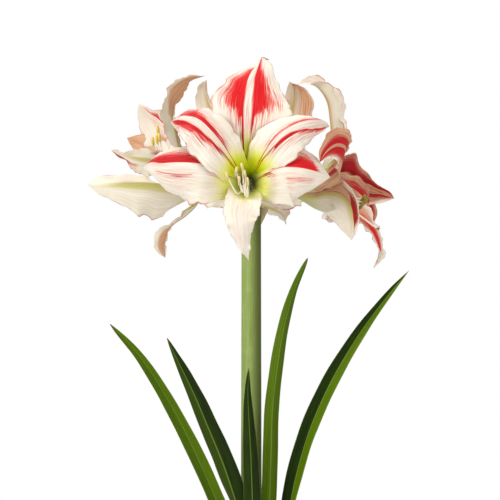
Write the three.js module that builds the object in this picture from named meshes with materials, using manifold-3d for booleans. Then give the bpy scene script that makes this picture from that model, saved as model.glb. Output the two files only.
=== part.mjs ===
// A potted amaryllis in bloom: a clay pot of soil, a bulb, five strap leaves and one stalk
// with four open flowers. Millimetres, +Z up, +X to the right of the front view, -Y towards
// the viewer. The origin is the middle of the pot's underside.

import * as THREE from "three";
import { mergeVertices } from "three/addons/utils/BufferGeometryUtils.js";
import Module from "manifold-3d";

const wasm = await Module();
wasm.setup();

// Driving dimensions
const GAP = 0.3;
const POT_HEIGHT = 140;
const POT_FOOT_RADIUS = 57;
const POT_RIM_RADIUS = 84;
const POT_WALL = 6;
const POT_RIM_BAND = 24;
const DRAIN_RADIUS = 4;
const DRAIN_RING = 28;
const DRAIN_COUNT = 3;
const SOIL_LEVEL = 121;
const SOIL_RELIEF = 1.6;
const SOIL_RINGS = [67, 61, 55.5, 50.5, 44];
const BULB_FOOT = 64;
const BULB_RADIUS = 49;
const BULB_BELLY = 110;
const NECK_RADIUS = 33;
const NECK_TOP = 172;
const STALK_RADIUS = 11.8;
const STALK_FOOT = [-10, 13, 134];
const STALK_TOP = [-10, 0, 598];
const STALK_BOW = 1.5;
const LEAF_ROOT_THICKNESS = 3.4;
const LEAF_TIP_THICKNESS = 1.9;
const PEDICEL_RADIUS = 4.6;
const OVARY_RADIUS = 7.2;
const TUBE_RADIUS = 8.4;
const TUBE_DEPTH = 9;
const TUBE_LIP = 3;
const TEPAL_THICKNESS = 0.9;
const TEPAL_RING = 7;
const FILAMENT_RADIUS = 0.9;
const ANTHER_LENGTH = 11;
const ANTHER_RADIUS = 1.9;
const STYLE_RADIUS = 1.1;
const STIGMA_RADIUS = 2.1;
const STAMEN_SEAT_RADIUS = 4.2;
const STAMEN_SEAT_DEPTH = 1.6;
const BRACT_THICKNESS = 0.8;

// Counts of facets
const POT_SIDES = 32;
const BULB_SIDES = 24;
const TEPAL_STEPS = 9;
const TEPAL_STRIPS = 4;
const LEAF_STEPS = 12;
const LEAF_STRIPS = 4;
const STALK_STEPS = 10;
const STALK_SIDES = 14;
const STAMEN_STEPS = 6;
const STEM_STEPS = 8;
const STEM_SIDES = 8;
const TUBE_SIDES = 12;
const DRAIN_SIDES = 12;
const BRACT_STEPS = 9;

// Colours
const CLAY = 0xb5673f;
const SOIL = 0x3a2a1e;
const BULB_SKIN = 0x8a5a33;
const LEAF_GREEN = 0x4c7a1c;
const STALK_GREEN = 0x8fa65c;
const PETAL_WHITE = 0xf6efe2;
const STAMEN_CREAM = 0xe9d9a8;
const BRACT_TAN = 0xc9b48a;

// The five leaves. Each path runs up the middle of the leaf from inside the bulb's neck.
// "plan" is the direction of the leaf's width at its root, in degrees from +X, and "turn"
// the twist from there to the tip. "channel" is the fold of each half towards the upper face,
// and a smaller "taper" makes a blunter tip.
const LEAVES = {
  leaf_left_long: {
    width: 20, plan: 90, turn: [0, 75, 100, 95], channel: [28, 24, 20], taper: 0.6,
    path: [[-29, -4, 146], [-31, -5, 175], [-38.5, -8, 218], [-52.5, -10, 253], [-69, -14, 292],
      [-88.5, -20, 334], [-111, -28, 376], [-138, -36, 417], [-169, -42, 451]],
  },
  leaf_left_short: {
    width: 28, plan: 132, turn: [0, -8, -32, -38, -34], channel: [26, 24, 16], taper: 0.75,
    path: [[-8.5, -12, 146], [-10.5, -14, 175], [-18, -16.5, 220], [-29, -18, 254], [-42.5, -20, 293],
      [-59.5, -22, 334], [-71, -24, 362], [-84.5, -24, 391], [-97, -22, 416], [-106, -18, 434]],
  },
  leaf_front_short: {
    width: 20, plan: 180, turn: [0, -5, -10], channel: [16, 16, 12], taper: 0.8,
    path: [[-7, -24, 146], [-7, -24, 175], [-8, -25, 220], [-9, -26, 255], [-11, -28, 308],
      [-13, -33, 345], [-14, -38, 375], [-13, -42, 402]],
  },
  leaf_right_middle: {
    width: 19, plan: -145, turn: [0, 25, 20, 5], channel: [24, 20, 14], taper: 0.5,
    path: [[13, -8, 146], [12, -8, 175], [10, -8, 218], [11, -8, 252], [12.5, -7, 305],
      [14, -6, 350], [19, -4, 396], [26.5, 0, 442], [39, 2, 488], [55, 4, 525]],
  },
  leaf_right_long: {
    width: 25.5, plan: -90, turn: [0, -50, -65, -60], channel: [28, 24, 20], taper: 0.8,
    path: [[23, 0, 146], [26, 0, 175], [32, 0, 212], [37.5, 0, 252], [46.5, -2, 291],
      [59.5, -6, 333], [83.5, -14, 388], [116.5, -24, 444], [149.5, -32, 489], [168, -34, 511]],
  },
};

// The four flowers. "mouth" is the middle of the flower's throat and "axis" the way it faces.
// Each tepal's path runs up its midrib, measured from the mouth. "cup" is the curve of each
// half across the tepal, "fold" its tilt at the midrib, "spread" its share of the plain width
// and "roll" the twist, all from the root to the tip. A pair of lists gives the two halves
// apart. "ends" holds the tips of the six filaments and "style" that of the style, as steps
// across and up from the flower's axis at "reach", and "sag" is their droop on the way.
const FLOWERS = {
  front: {
    mouth: [-14, -60, 608], axis: [0, -1, 0.08], sag: 17, reach: 76,
    ends: [[-22, -1], [-12, 5], [-9, -5], [-6, 9], [-3, 2], [0, -6]], style: [-4, -12],
    tepals: [
      { width: 96, cup: [1.0, 0.25, -0.15, -0.3], fold: [6, 2, -4, 0], roll: [0, 0, -4, 0],
        spread: [[1, 1, 0.95, 0.84, 0.4, 0.12], [1, 1, 1, 0.98, 0.86, 0.35]], seed: 3,
        widest: 0.6, rise: 2.0, tip: 1.15,
        path: [[-1, -20, 18], [-1, -40, 37], [0, -54, 63], [2, -58, 89], [6, -50, 112],
          [12, -38, 129], [16, -31, 138], [23, -26, 136]] },
      { inner: true, width: 64, cup: [1.0, 0.3, -0.2, -0.3],
        fold: [[8, 4, -14, -18], [8, -10, -28, -24]], spread: [[1, 1, 0.95, 1], [1, 0.75, 0.8, 1.15]],
        seed: 5, wave: 2.5,
        path: [[-11, -28, 13], [-21, -58, 29], [-37, -72, 50], [-53, -76, 65], [-67, -67, 70],
          [-78, -50, 69], [-84, -34, 66]] },
      { inner: true, width: 62, cup: [1.0, 0.3, -0.2, -0.3],
        fold: [[8, -20, -58, -60], [8, 4, -14, -18]], spread: [[1, 0.8, 0.8, 0.9], [1, 1, 0.95, 1]],
        seed: 8, wave: 2.5,
        path: [[9, -28, 14], [18, -56, 30], [34, -71, 50], [52, -75, 61], [70, -68, 66],
          [84, -52, 66], [89, -38, 62]] },
      { width: 86, cup: [[1.0, 0.1, -0.9, -0.9], [1.0, 0.1, -0.3, -0.4]],
        fold: [[8, -10, -14, -10], [8, -14, -38, -30]],
        spread: [[1, 1.1, 1.15, 1.1], [1, 1, 0.85, 0.8, 0.8, 1]], seed: 2, wave: 2.5,
        widest: 0.6, rise: 1.7,
        path: [[-12, -24, 4], [-26, -50, 11], [-46, -66, 18], [-68, -70, 20], [-90, -62, 20],
          [-107, -48, 20], [-115, -34, 16]] },
      { width: 84, cup: [[1.0, 0.1, -0.3, -0.4], [1.0, 0.1, -0.8, -0.8]],
        fold: [[8, -10, -28, -20], [8, -8, -10, -8]], spread: [[1, 0.9, 0.8, 1], [1, 1, 1.05, 1.25]],
        seed: 4, wave: 2.5, rise: 1.7,
        path: [[11, -24, 4], [22, -48, 9], [39, -64, 14], [57, -67, 13], [74, -58, 10],
          [90, -42, 6]] },
      { inner: true, width: 40, cup: [1.0, 0.4, -0.3, -0.4], fold: [8, 6, -16, -16],
        spread: [[1, 1, 1.1, 1.2], [1, 1, 1, 1]], seed: 7, wave: 3.5, freq: 3.4, tip: 1.3,
        widest: 0.38,
        path: [[-3, -28, -12], [-5, -50, -21], [-8, -64, -36], [-7, -66, -52], [-4, -58, -69],
          [1, -44, -85]] },
    ],
  },
  left: {
    mouth: [-60, -6, 608], axis: [-0.93, -0.22, 0.3], sag: 2, reach: 72,
    ends: [[-5, 30], [-3, 42], [0, 36], [3, 44], [5, 32], [6, 35]], style: [2, 8],
    tepals: [
      { width: 60, cup: [1.1, 0.6, 0.15, 0.1], roll: [0, 10, 26, 32, 32],
        spread: [[1, 1, 0.8, 0.8], [1, 1, 1.1, 1]], seed: 13, widest: 0.5,
        path: [[-20, -2, 16], [-32, 0, 38], [-38, 4, 63], [-41, 8, 85], [-36, 10, 104],
          [-28, 8, 115], [-18, 4, 122], [-4, -2, 126]] },
      { inner: true, width: 60, cup: [1.0, 0.4, -0.2, -0.3], seed: 15,
        path: [[-22, 14, 17], [-40, 34, 40], [-57, 50, 64], [-72, 58, 83], [-83, 54, 98]] },
      { width: 60, cup: [1.0, 0.4, 0, -0.3], seed: 12,
        spread: [[1, 0.8, 0.5, 0.5, 0.7], [1, 1, 0.9, 0.9]],
        path: [[-21, 16, 7], [-43, 38, 22], [-63, 56, 38], [-82, 66, 51], [-97, 66, 59]] },
      { width: 80, cup: [[1.0, 0.3, 0, -0.2], [1.0, 0.5, 0.3, 0]],
        fold: [[8, 60, 112, 115, 100, 40], [8, 0, -10, -10]],
        spread: [[1, 1, 0.8, 0.9], [1.1, 1.3, 1.25, 1, 0.75, 0.8]], seed: 14, widest: 0.5,
        path: [[-14, -28, -6], [-32, -46, -3], [-60, -54, 0], [-91, -54, 0], [-115, -48, -1],
          [-134, -38, 0]] },
      { inner: true, width: 48, cup: [1.0, 0.4, 0, -0.2], fold: [8, 4, 0, 0],
        roll: [0, 15, 40, 60], spread: [[1, 0.8, 0.5, 0.6, 0.9], [1, 0.9, 0.6, 1, 1.2]], seed: 18,
        path: [[-21, -26, 10], [-39, -50, 22], [-60, -62, 26], [-85, -62, 30],
          [-106, -52, 38]] },
      { inner: true, width: 30, cup: [1.0, 0.5, 0.2, 0.3], roll: [0, 0, -5, -50, -50],
        spread: [1, 1, 0.8, 0.75, 0.7], seed: 17, wave: 2, widest: 0.75,
        path: [[-8, 2, -12], [-13, -2, -22], [-26, -6, -35], [-39, -10, -44], [-48, -12, -55],
          [-52, -8, -69], [-49, -2, -82]] },
    ],
  },
  right: {
    mouth: [41, -6, 601], axis: [0.93, -0.25, -0.12], sag: 6, reach: 78,
    ends: [[-4, -2], [-1, 2], [2, -4], [5, 1], [-6, -6], [7, -5]], style: [-8, -30],
    tepals: [
      { width: 56, cup: [1.1, 0.6, 0.3, 0.2], fold: [[8, 10, 25, 35, 30], [8, 10, 35, 50, 45]],
        roll: [0, -10, -10, -5, 0], spread: [[1, 1], [1, 1, 0.9, 0.75, 1, 0.55, 0.6]], seed: 23,
        widest: 0.5,
        path: [[21, 2, 16], [35, 6, 39], [41, 10, 64], [40, 12, 86], [36, 10, 106],
          [25, 6, 121], [12, 0, 125], [1, -8, 123]] },
      { inner: true, width: 58, cup: [1.0, 0.4, -0.2, -0.3], seed: 25,
        spread: [[1, 1.2, 1.3, 1.15, 0.5, 0.33, 0.7], [1, 1]],
        path: [[24, 16, 10], [47, 36, 19], [69, 50, 17], [92, 52, 6], [116, 42, -6]] },
      { width: 60, cup: [1.0, 0.4, 0, -0.3], seed: 22,
        path: [[24, 18, -2], [47, 36, -3], [65, 48, -10], [81, 52, -22], [91, 48, -39]] },
      { inner: true, width: 52, cup: [1.0, 0.4, -0.3, -0.3], seed: 28,
        spread: [[1, 1], [1, 1, 1.15, 0.6, 0.95, 1]],
        path: [[20, -20, 10], [37, -44, 22], [50, -60, 36], [52, -80, 46], [41, -96, 48],
          [30, -105, 40], [23, -104, 29]] },
      { width: 70, cup: [[1.0, 0.5, -0.1, -0.6], [1.0, 0.3, -0.6, -1.0]],
        fold: [[8, 0, -8, -10], [8, -10, -30, -30]], roll: [0, 5, 20, 30, 30],
        spread: [[1, 1, 1, 1], [1, 0.85, 0.55, 0.55, 0.8]], seed: 24,
        path: [[19, -18, -5], [35, -38, -1], [49, -52, -3], [59, -60, -14], [62, -60, -33],
          [61, -54, -55]] },
      { inner: true, width: 36, cup: [1.0, 0.5, 0.2, 0.2], roll: [0, 0, 10, 40, 50], seed: 27,
        spread: [[1, 1], [1, 1, 1, 0.8, 0.4]], widest: 0.6,
        path: [[22, 0, -9], [44, -2, -16], [64, -2, -24], [82, 0, -37], [92, 2, -52],
          [96, 4, -69], [90, 8, -87]] },
    ],
  },
  back: {
    mouth: [-9, 58, 608], axis: [0, 1, 0.15], sag: 8, reach: 72,
    ends: [[-9, 2], [-5, 8], [0, -3], [4, 9], [8, 3], [3, -8]], style: [-3, -10],
    tepals: [
      { width: 88, cup: [1.0, 0.35, -0.15, -0.3], seed: 33, rise: 1.8,
        path: [[0, 26, 20], [0, 50, 45], [0, 66, 75], [0, 68, 100], [0, 58, 115],
          [0, 40, 122]] },
      { inner: true, width: 54, cup: [1.0, 0.3, -0.4, -0.5], fold: [8, 4, -14, -18],
        roll: [0, 10, 30, 40], spread: [[1, 1], [1, 0.9, 0.75, 0.6]], seed: 35,
        path: [[-11, 26, 18], [-27, 54, 48], [-44, 70, 83], [-55, 72, 110], [-57, 62, 126],
          [-55, 46, 132]] },
      { inner: true, width: 62, cup: [1.0, 0.3, -0.4, -0.5], fold: [8, 4, -14, -18], seed: 38,
        tip: 0.7, widest: 0.62,
        path: [[12, 26, 18], [28, 54, 48], [44, 70, 83], [50, 72, 108], [50, 62, 124],
          [46, 46, 130]] },
      { width: 76, cup: [1.0, 0.1, -0.5, -0.5], fold: [8, -6, -10, -10], seed: 32,
        path: [[-12, 26, 6], [-29, 52, 11], [-54, 68, 17], [-78, 70, 17], [-97, 60, 12]] },
      { width: 76, cup: [1.0, 0.1, -0.5, -0.5], fold: [8, -6, -10, -10], seed: 34,
        path: [[12, 26, 6], [29, 52, 10], [51, 68, 15], [73, 70, 15], [92, 60, 12]] },
      { inner: true, width: 42, cup: [1.0, 0.5, 0.3, 0.2], seed: 37,
        path: [[1, 27, -10], [9, 50, -18], [23, 66, -23], [37, 68, -30], [41, 60, -42]] },
    ],
  },
};

// The two dry bracts that hang from the top of the stalk, measured from its top.
const BRACTS = {
  bract_left: {
    width: 15, path: [[-11.2, 6.6, -13], [-15, 9, -12], [-19, 11, -20], [-19, 12, -34],
      [-15, 13, -50]],
  },
  bract_right: {
    width: 15, path: [[11.9, 7.1, -14.5], [14.5, 12.5, -16], [10.5, 19.5, -23], [3, 23, -38],
      [-3, 23, -62]],
  },
};

// Small helpers for points and numbers
const V = (p) => new THREE.Vector3(p[0], p[1], p[2]);
const radians = (degrees) => (degrees * Math.PI) / 180;
const clamp = (x, low, high) => Math.min(Math.max(x, low), high);

// A repeatable draw in 0 to 1 for each seed and index
function draw(seed, index) {
  const s = Math.sin(seed * 12.9898 + index * 78.233) * 43758.5453;
  return s - Math.floor(s);
}

// A value eased between stations that are spread evenly over 0 to 1
function along(stations, u) {
  const x = clamp(u, 0, 1) * (stations.length - 1);
  const i = Math.min(Math.floor(x), stations.length - 2);
  const f = x - i;
  const eased = f * f * (3 - 2 * f);
  return stations[i] * (1 - eased) + stations[i + 1] * eased;
}

// The stations of one half of a tepal: half 0 is the first of a pair, half 1 the second
function halfOf(stations, half) {
  return Array.isArray(stations[0]) ? stations[half] : stations;
}

// Evenly spaced points on a smooth curve through the given ones
function curvePoints(points, steps) {
  const curve = new THREE.CatmullRomCurve3(points, false, "centripetal");
  curve.arcLengthDivisions = points.length * 40;
  return curve.getSpacedPoints(steps);
}

// Side and face directions carried along a curve without needless twist
function carriedFrames(points, firstSide) {
  const last = points.length - 1;
  const tangents = points.map((p, i) => {
    const a = points[Math.max(i - 1, 0)];
    const b = points[Math.min(i + 1, last)];
    return b.clone().sub(a).normalize();
  });
  const sides = [];
  let side = firstSide.clone();
  for (let i = 0; i <= last; i += 1) {
    side.addScaledVector(tangents[i], -side.dot(tangents[i])).normalize();
    sides.push(side.clone());
  }
  const faces = sides.map((s, i) => s.clone().cross(tangents[i]));
  return { sides, faces };
}

// Turns a closed geometry into a solid that can be joined and cut
function solidOf(geometry) {
  const bare = geometry.clone();
  bare.deleteAttribute("normal");
  bare.deleteAttribute("uv");
  const merged = mergeVertices(bare, 1e-4);
  return new wasm.Manifold(new wasm.Mesh({
    numProp: 3,
    vertProperties: new Float32Array(merged.attributes.position.array),
    triVerts: new Uint32Array(merged.index.array),
  }));
}

function geometryOf(solid) {
  const mesh = solid.getMesh();
  const geometry = new THREE.BufferGeometry();
  geometry.setAttribute("position", new THREE.BufferAttribute(mesh.vertProperties, 3));
  geometry.setIndex(new THREE.BufferAttribute(mesh.triVerts, 1));
  geometry.computeVertexNormals();
  return geometry;
}

function geometryFrom(points, triangles) {
  const geometry = new THREE.BufferGeometry();
  const flat = points.flatMap((p) => [p.x, p.y, p.z]);
  geometry.setAttribute("position", new THREE.Float32BufferAttribute(flat, 3));
  geometry.setIndex(triangles);
  return geometry;
}

// A thin closed blade on a grid of points, split into triangles alike on both faces
function bladeGeometry(grid, thicknessAt) {
  const rows = grid.length;
  const columns = grid[0].length;
  const normalAt = (i, j) => {
    const down = grid[Math.max(i - 1, 0)][j];
    const up = grid[Math.min(i + 1, rows - 1)][j];
    const left = grid[i][Math.max(j - 1, 0)];
    const right = grid[i][Math.min(j + 1, columns - 1)];
    return right.clone().sub(left).cross(up.clone().sub(down)).normalize();
  };
  const points = [];
  for (const side of [0.5, -0.5]) {
    for (let i = 0; i < rows; i += 1) {
      for (let j = 0; j < columns; j += 1) {
        const offset = side * thicknessAt(i / (rows - 1), (2 * j) / (columns - 1) - 1);
        points.push(grid[i][j].clone().addScaledVector(normalAt(i, j), offset));
      }
    }
  }
  const top = (i, j) => i * columns + j;
  const under = (i, j) => rows * columns + i * columns + j;
  const triangles = [];
  for (let i = 0; i < rows - 1; i += 1) {
    for (let j = 0; j < columns - 1; j += 1) {
      triangles.push(top(i, j), top(i, j + 1), top(i + 1, j + 1));
      triangles.push(top(i, j), top(i + 1, j + 1), top(i + 1, j));
      triangles.push(under(i, j), under(i + 1, j + 1), under(i, j + 1));
      triangles.push(under(i, j), under(i + 1, j), under(i + 1, j + 1));
    }
  }
  const rim = [];
  for (let j = 0; j < columns; j += 1) rim.push([0, j]);
  for (let i = 1; i < rows; i += 1) rim.push([i, columns - 1]);
  for (let j = columns - 2; j >= 0; j -= 1) rim.push([rows - 1, j]);
  for (let i = rows - 2; i > 0; i -= 1) rim.push([i, 0]);
  rim.forEach(([i, j], k) => {
    const [m, n] = rim[(k + 1) % rim.length];
    triangles.push(top(i, j), under(i, j), under(m, n));
    triangles.push(top(i, j), under(m, n), top(m, n));
  });
  return geometryFrom(points, triangles);
}

// A closed tube of changing radius along a row of points
function tubeGeometry(centres, radiusAt, sides, firstSide = new THREE.Vector3(1, 0, 0)) {
  const { sides: across, faces } = carriedFrames(centres, firstSide);
  const last = centres.length - 1;
  const points = [];
  centres.forEach((centre, i) => {
    const radius = radiusAt(i / last);
    for (let k = 0; k < sides; k += 1) {
      const angle = (2 * Math.PI * k) / sides;
      points.push(centre.clone()
        .addScaledVector(across[i], radius * Math.cos(angle))
        .addScaledVector(faces[i], -radius * Math.sin(angle)));
    }
  });
  const triangles = [];
  for (let i = 0; i < last; i += 1) {
    for (let k = 0; k < sides; k += 1) {
      const a = i * sides + k;
      const b = i * sides + ((k + 1) % sides);
      triangles.push(a, b, b + sides, a, b + sides, a + sides);
    }
  }
  const foot = points.push(centres[0].clone()) - 1;
  const head = points.push(centres[last].clone()) - 1;
  for (let k = 0; k < sides; k += 1) {
    const next = (k + 1) % sides;
    triangles.push(foot, next, k);
    triangles.push(head, last * sides + k, last * sides + next);
  }
  return geometryFrom(points, triangles);
}

// Pot

function potInnerRadius(z) {
  const slope = (POT_RIM_RADIUS - 1 - POT_WALL - (POT_FOOT_RADIUS - POT_WALL)) / POT_HEIGHT;
  return POT_FOOT_RADIUS - POT_WALL + slope * z;
}

function makePot() {
  const bandFoot = POT_HEIGHT - POT_RIM_BAND;
  const bandIn = potInnerRadius(bandFoot) + POT_WALL;
  const profile = [
    [0, 0], [POT_FOOT_RADIUS - 2, 0], [POT_FOOT_RADIUS, 2], [bandIn - 1, bandFoot],
    [POT_RIM_RADIUS - 1.5, bandFoot], [POT_RIM_RADIUS, bandFoot + 2],
    [POT_RIM_RADIUS, POT_HEIGHT - 3], [POT_RIM_RADIUS - 1.5, POT_HEIGHT - 0.8],
    [POT_RIM_RADIUS - 3.5, POT_HEIGHT], [POT_RIM_RADIUS - 5.5, POT_HEIGHT - 0.8],
    [potInnerRadius(POT_HEIGHT - 4), POT_HEIGHT - 4], [potInnerRadius(POT_WALL + 4), POT_WALL + 4],
    [potInnerRadius(POT_WALL) - 4, POT_WALL], [0, POT_WALL],
  ];
  let pot = solidOf(turned(profile, POT_SIDES));
  for (let k = 0; k < DRAIN_COUNT; k += 1) {
    const angle = (2 * Math.PI * k) / DRAIN_COUNT + Math.PI / 2;
    const drill = new THREE.CylinderGeometry(DRAIN_RADIUS, DRAIN_RADIUS, 4 * POT_WALL, DRAIN_SIDES);
    drill.rotateX(Math.PI / 2);
    drill.translate(DRAIN_RING * Math.cos(angle), DRAIN_RING * Math.sin(angle), 0);
    pot = pot.subtract(solidOf(drill));
  }
  return geometryOf(pot);
}

// A lathe shape about the Z axis from [radius, height] pairs that start and end on the axis
function turned(profile, sides) {
  const outline = profile.map(([r, z]) => new THREE.Vector2(r, z));
  const geometry = new THREE.LatheGeometry(outline, sides);
  geometry.rotateX(Math.PI / 2);
  return geometry;
}

// Bulb and soil

function bulbProfile(grow) {
  const bare = [
    [14, BULB_FOOT], [24, BULB_FOOT + 5], [39, BULB_FOOT + 18], [BULB_RADIUS - 1, BULB_BELLY - 12],
    [BULB_RADIUS, BULB_BELLY], [BULB_RADIUS - 3, BULB_BELLY + 14], [40, BULB_BELLY + 30],
    [NECK_RADIUS + 2, BULB_BELLY + 44], [NECK_RADIUS, NECK_TOP - 6],
    [NECK_RADIUS - 1, NECK_TOP - 1.5], [NECK_RADIUS - 4, NECK_TOP],
  ];
  const outer = bare.map(([r, z]) => {
    const shift = z < BULB_BELLY ? -grow : grow;
    return [r + grow, z + shift * 0.6];
  });
  return [[0, BULB_FOOT - grow], ...outer, [0, NECK_TOP + grow]];
}

function makeBulb(rooted) {
  let bulb = solidOf(turned(bulbProfile(0), BULB_SIDES));
  for (const slot of rooted) bulb = bulb.subtract(slot);
  return geometryOf(largestPiece(bulb));
}

function largestPiece(solid) {
  const pieces = solid.decompose();
  return pieces.reduce((best, piece) => (piece.volume() > best.volume() ? piece : best));
}

function soilHeight(x, y) {
  const coarse = Math.sin(x * 0.19 + 1.3) * Math.cos(y * 0.23 - 0.4);
  const fine = Math.sin(x * 0.41 - y * 0.33 + 2.1);
  return SOIL_LEVEL + SOIL_RELIEF * (0.6 * coarse + 0.4 * fine);
}

function makeSoil() {
  const wall = (z) => potInnerRadius(z) - GAP;
  const rings = [
    [potInnerRadius(POT_WALL) - 4 - GAP, POT_WALL + GAP], [wall(POT_WALL + 4) - 0.1, POT_WALL + 4.2],
    [wall(SOIL_LEVEL - 4), SOIL_LEVEL - 4],
  ];
  const topRadii = [wall(SOIL_LEVEL - 2), ...SOIL_RINGS];
  const points = [new THREE.Vector3(0, 0, POT_WALL + GAP)];
  const ring = (radius, heightAt) => {
    for (let k = 0; k < POT_SIDES; k += 1) {
      const angle = (2 * Math.PI * k) / POT_SIDES;
      const x = radius * Math.cos(angle);
      const y = radius * Math.sin(angle);
      points.push(new THREE.Vector3(x, y, heightAt(x, y)));
    }
  };
  rings.forEach(([radius, z]) => ring(radius, () => z));
  topRadii.forEach((radius) => ring(radius, soilHeight));
  const head = points.push(new THREE.Vector3(0, 0, SOIL_LEVEL)) - 1;
  const count = rings.length + topRadii.length;
  const triangles = [];
  for (let k = 0; k < POT_SIDES; k += 1) {
    const next = (k + 1) % POT_SIDES;
    triangles.push(0, 1 + next, 1 + k);
    for (let i = 0; i < count - 1; i += 1) {
      const a = 1 + i * POT_SIDES + k;
      const b = 1 + i * POT_SIDES + next;
      triangles.push(a, b, b + POT_SIDES, a, b + POT_SIDES, a + POT_SIDES);
    }
    triangles.push(head, 1 + (count - 1) * POT_SIDES + k, 1 + (count - 1) * POT_SIDES + next);
  }
  const heap = solidOf(geometryFrom(points, triangles));
  return geometryOf(heap.subtract(solidOf(turned(bulbProfile(GAP), BULB_SIDES))));
}

// Leaves

function leafWidth(u, taper) {
  const root = 0.92 + 0.08 * Math.min(u / 0.3, 1);
  const q = clamp((u - 0.35) / 0.65, 0, 1);
  return root * Math.max(1 - q ** 1.9, 0.02) ** taper;
}

function leafGrid(leaf, grow) {
  const centres = curvePoints(leaf.path.map(V), LEAF_STEPS);
  if (grow > 0) centres[0].z -= grow;
  const plan = radians(leaf.plan);
  const firstSide = new THREE.Vector3(Math.cos(plan), Math.sin(plan), 0);
  const { sides, faces } = carriedFrames(centres, firstSide);
  return centres.map((centre, i) => {
    const u = i / LEAF_STEPS;
    const turn = radians(along(leaf.turn, u));
    const side = sides[i].clone().multiplyScalar(Math.cos(turn))
      .addScaledVector(faces[i], Math.sin(turn));
    const face = faces[i].clone().multiplyScalar(Math.cos(turn))
      .addScaledVector(sides[i], -Math.sin(turn));
    const half = (leaf.width / 2) * leafWidth(u, leaf.taper) + grow;
    const channel = radians(along(leaf.channel, u));
    const row = [];
    for (let j = 0; j <= LEAF_STRIPS; j += 1) {
      const v = (2 * j) / LEAF_STRIPS - 1;
      const reach = half * Math.abs(v);
      row.push(centre.clone()
        .addScaledVector(side, Math.sign(v) * reach * Math.cos(channel))
        .addScaledVector(face, reach * Math.sin(channel) * (0.45 + 0.55 * Math.abs(v))));
    }
    return row;
  });
}

function leafThickness(u, v) {
  const middle = LEAF_ROOT_THICKNESS + (LEAF_TIP_THICKNESS - LEAF_ROOT_THICKNESS) * u;
  return middle * (1 - 0.62 * v * v);
}

function makeLeaf(leaf) {
  return bladeGeometry(leafGrid(leaf, 0), leafThickness);
}

// The hole that a leaf leaves in the bulb's neck, clear of it all round
function leafSlot(leaf) {
  const grid = leafGrid(leaf, GAP + 0.1);
  return solidOf(bladeGeometry(grid, (u, v) => leafThickness(u, v) + 2 * GAP + 0.2));
}

// Stalk

function stalkRadius(u) {
  return STALK_RADIUS * (1.06 - 0.1 * u + 0.1 * Math.max(u - 0.93, 0) / 0.07);
}

// The middle line of the stalk, from inside the bulb to where the flowers' stems leave it
function stalkCentres() {
  const foot = V(STALK_FOOT);
  const top = V(STALK_TOP);
  const middle = foot.clone().lerp(top, 0.5).add(new THREE.Vector3(0, STALK_BOW, 0));
  return curvePoints([foot, middle, top], STALK_STEPS);
}

function makeStalk() {
  let stalk = solidOf(tubeGeometry(stalkCentres(), stalkRadius, STALK_SIDES));
  for (const flower of Object.values(FLOWERS)) stalk = stalk.add(solidOf(makePedicel(flower)));
  return geometryOf(stalk);
}

// A flower's own stem, its ovary and the green foot of its tube, up to the white tepals
function makePedicel(flower) {
  const top = V(STALK_TOP);
  const mouth = V(flower.mouth);
  const axis = V(flower.axis).normalize();
  const end = mouth.clone().addScaledVector(axis, -TUBE_DEPTH - GAP);
  const outward = end.clone().sub(top).setZ(0).normalize();
  const path = [
    top.clone().addScaledVector(outward, 4.5).setZ(top.z - 8),
    top.clone().addScaledVector(outward, 6.5).setZ(top.z + 4),
    end.clone().addScaledVector(axis, -14),
    end.clone().addScaledVector(axis, -4),
    end,
  ];
  const radiusAt = (u) => {
    const bulge = Math.exp(-(((u - 0.76) / 0.16) ** 2));
    const flare = clamp((u - 0.8) / 0.2, 0, 1);
    return PEDICEL_RADIUS + (OVARY_RADIUS - PEDICEL_RADIUS) * bulge * (1 - flare)
      + (TUBE_RADIUS - 1 - PEDICEL_RADIUS) * flare;
  };
  const across = new THREE.Vector3(0, 0, 1).cross(outward);
  return tubeGeometry(curvePoints(path, STEM_STEPS), radiusAt, STEM_SIDES, across);
}

// The hole that the stalk leaves in the bulb's neck, clear of it all round
function stalkSlot() {
  const centres = stalkCentres();
  centres[0].z -= GAP;
  return solidOf(tubeGeometry(centres, (u) => stalkRadius(u) + GAP, STALK_SIDES));
}

// Tepals

function tepalWidth(tepal, u) {
  const { widest = 0.57, root = 0.15, tip = 0.95, rise = 1.5 } = tepal;
  const swell = root + (1 - root) * Math.sin((Math.PI / 2) * Math.min(u / widest, 1)) ** rise;
  const q = clamp((u - widest) / (1 - widest), 0, 1);
  return swell * Math.max(1 - q ** 2.1, 0.015) ** tip;
}

// Where a point of a half tepal lies: across the midrib and out of its face
function tepalSection(tepal, u, v, half) {
  const { wave = 3, freq = 2.4, seed, cup, fold = [8, 8, 6], spread = [1, 1] } = tepal;
  const phase = (k) => 2 * Math.PI * draw(seed, k + 3 * half);
  const edge = clamp((u - 0.12) / 0.35, 0, 1) ** 1.2 * clamp((1 - u) / 0.12, 0.25, 1);
  const width = (tepal.width / 2) * tepalWidth(tepal, u) * along(halfOf(spread, half), u);
  const bend = along(halfOf(cup, half), u);
  const curve = Math.abs(bend) < 1e-3 ? 1e-3 : bend;
  const tilt = radians(along(halfOf(fold, half), u));
  const x = (width * Math.sin(curve * v)) / curve;
  const z = (width * (1 - Math.cos(curve * v))) / curve;
  const turn = 2 * Math.PI * freq * u;
  const ripple = Math.sin(turn + phase(0)) + 0.5 * Math.sin(turn * 2.3 + phase(1));
  return {
    across: x * Math.cos(tilt) - z * Math.sin(tilt),
    out: x * Math.sin(tilt) + z * Math.cos(tilt) + wave * v ** 2.2 * edge * ripple,
  };
}

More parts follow.
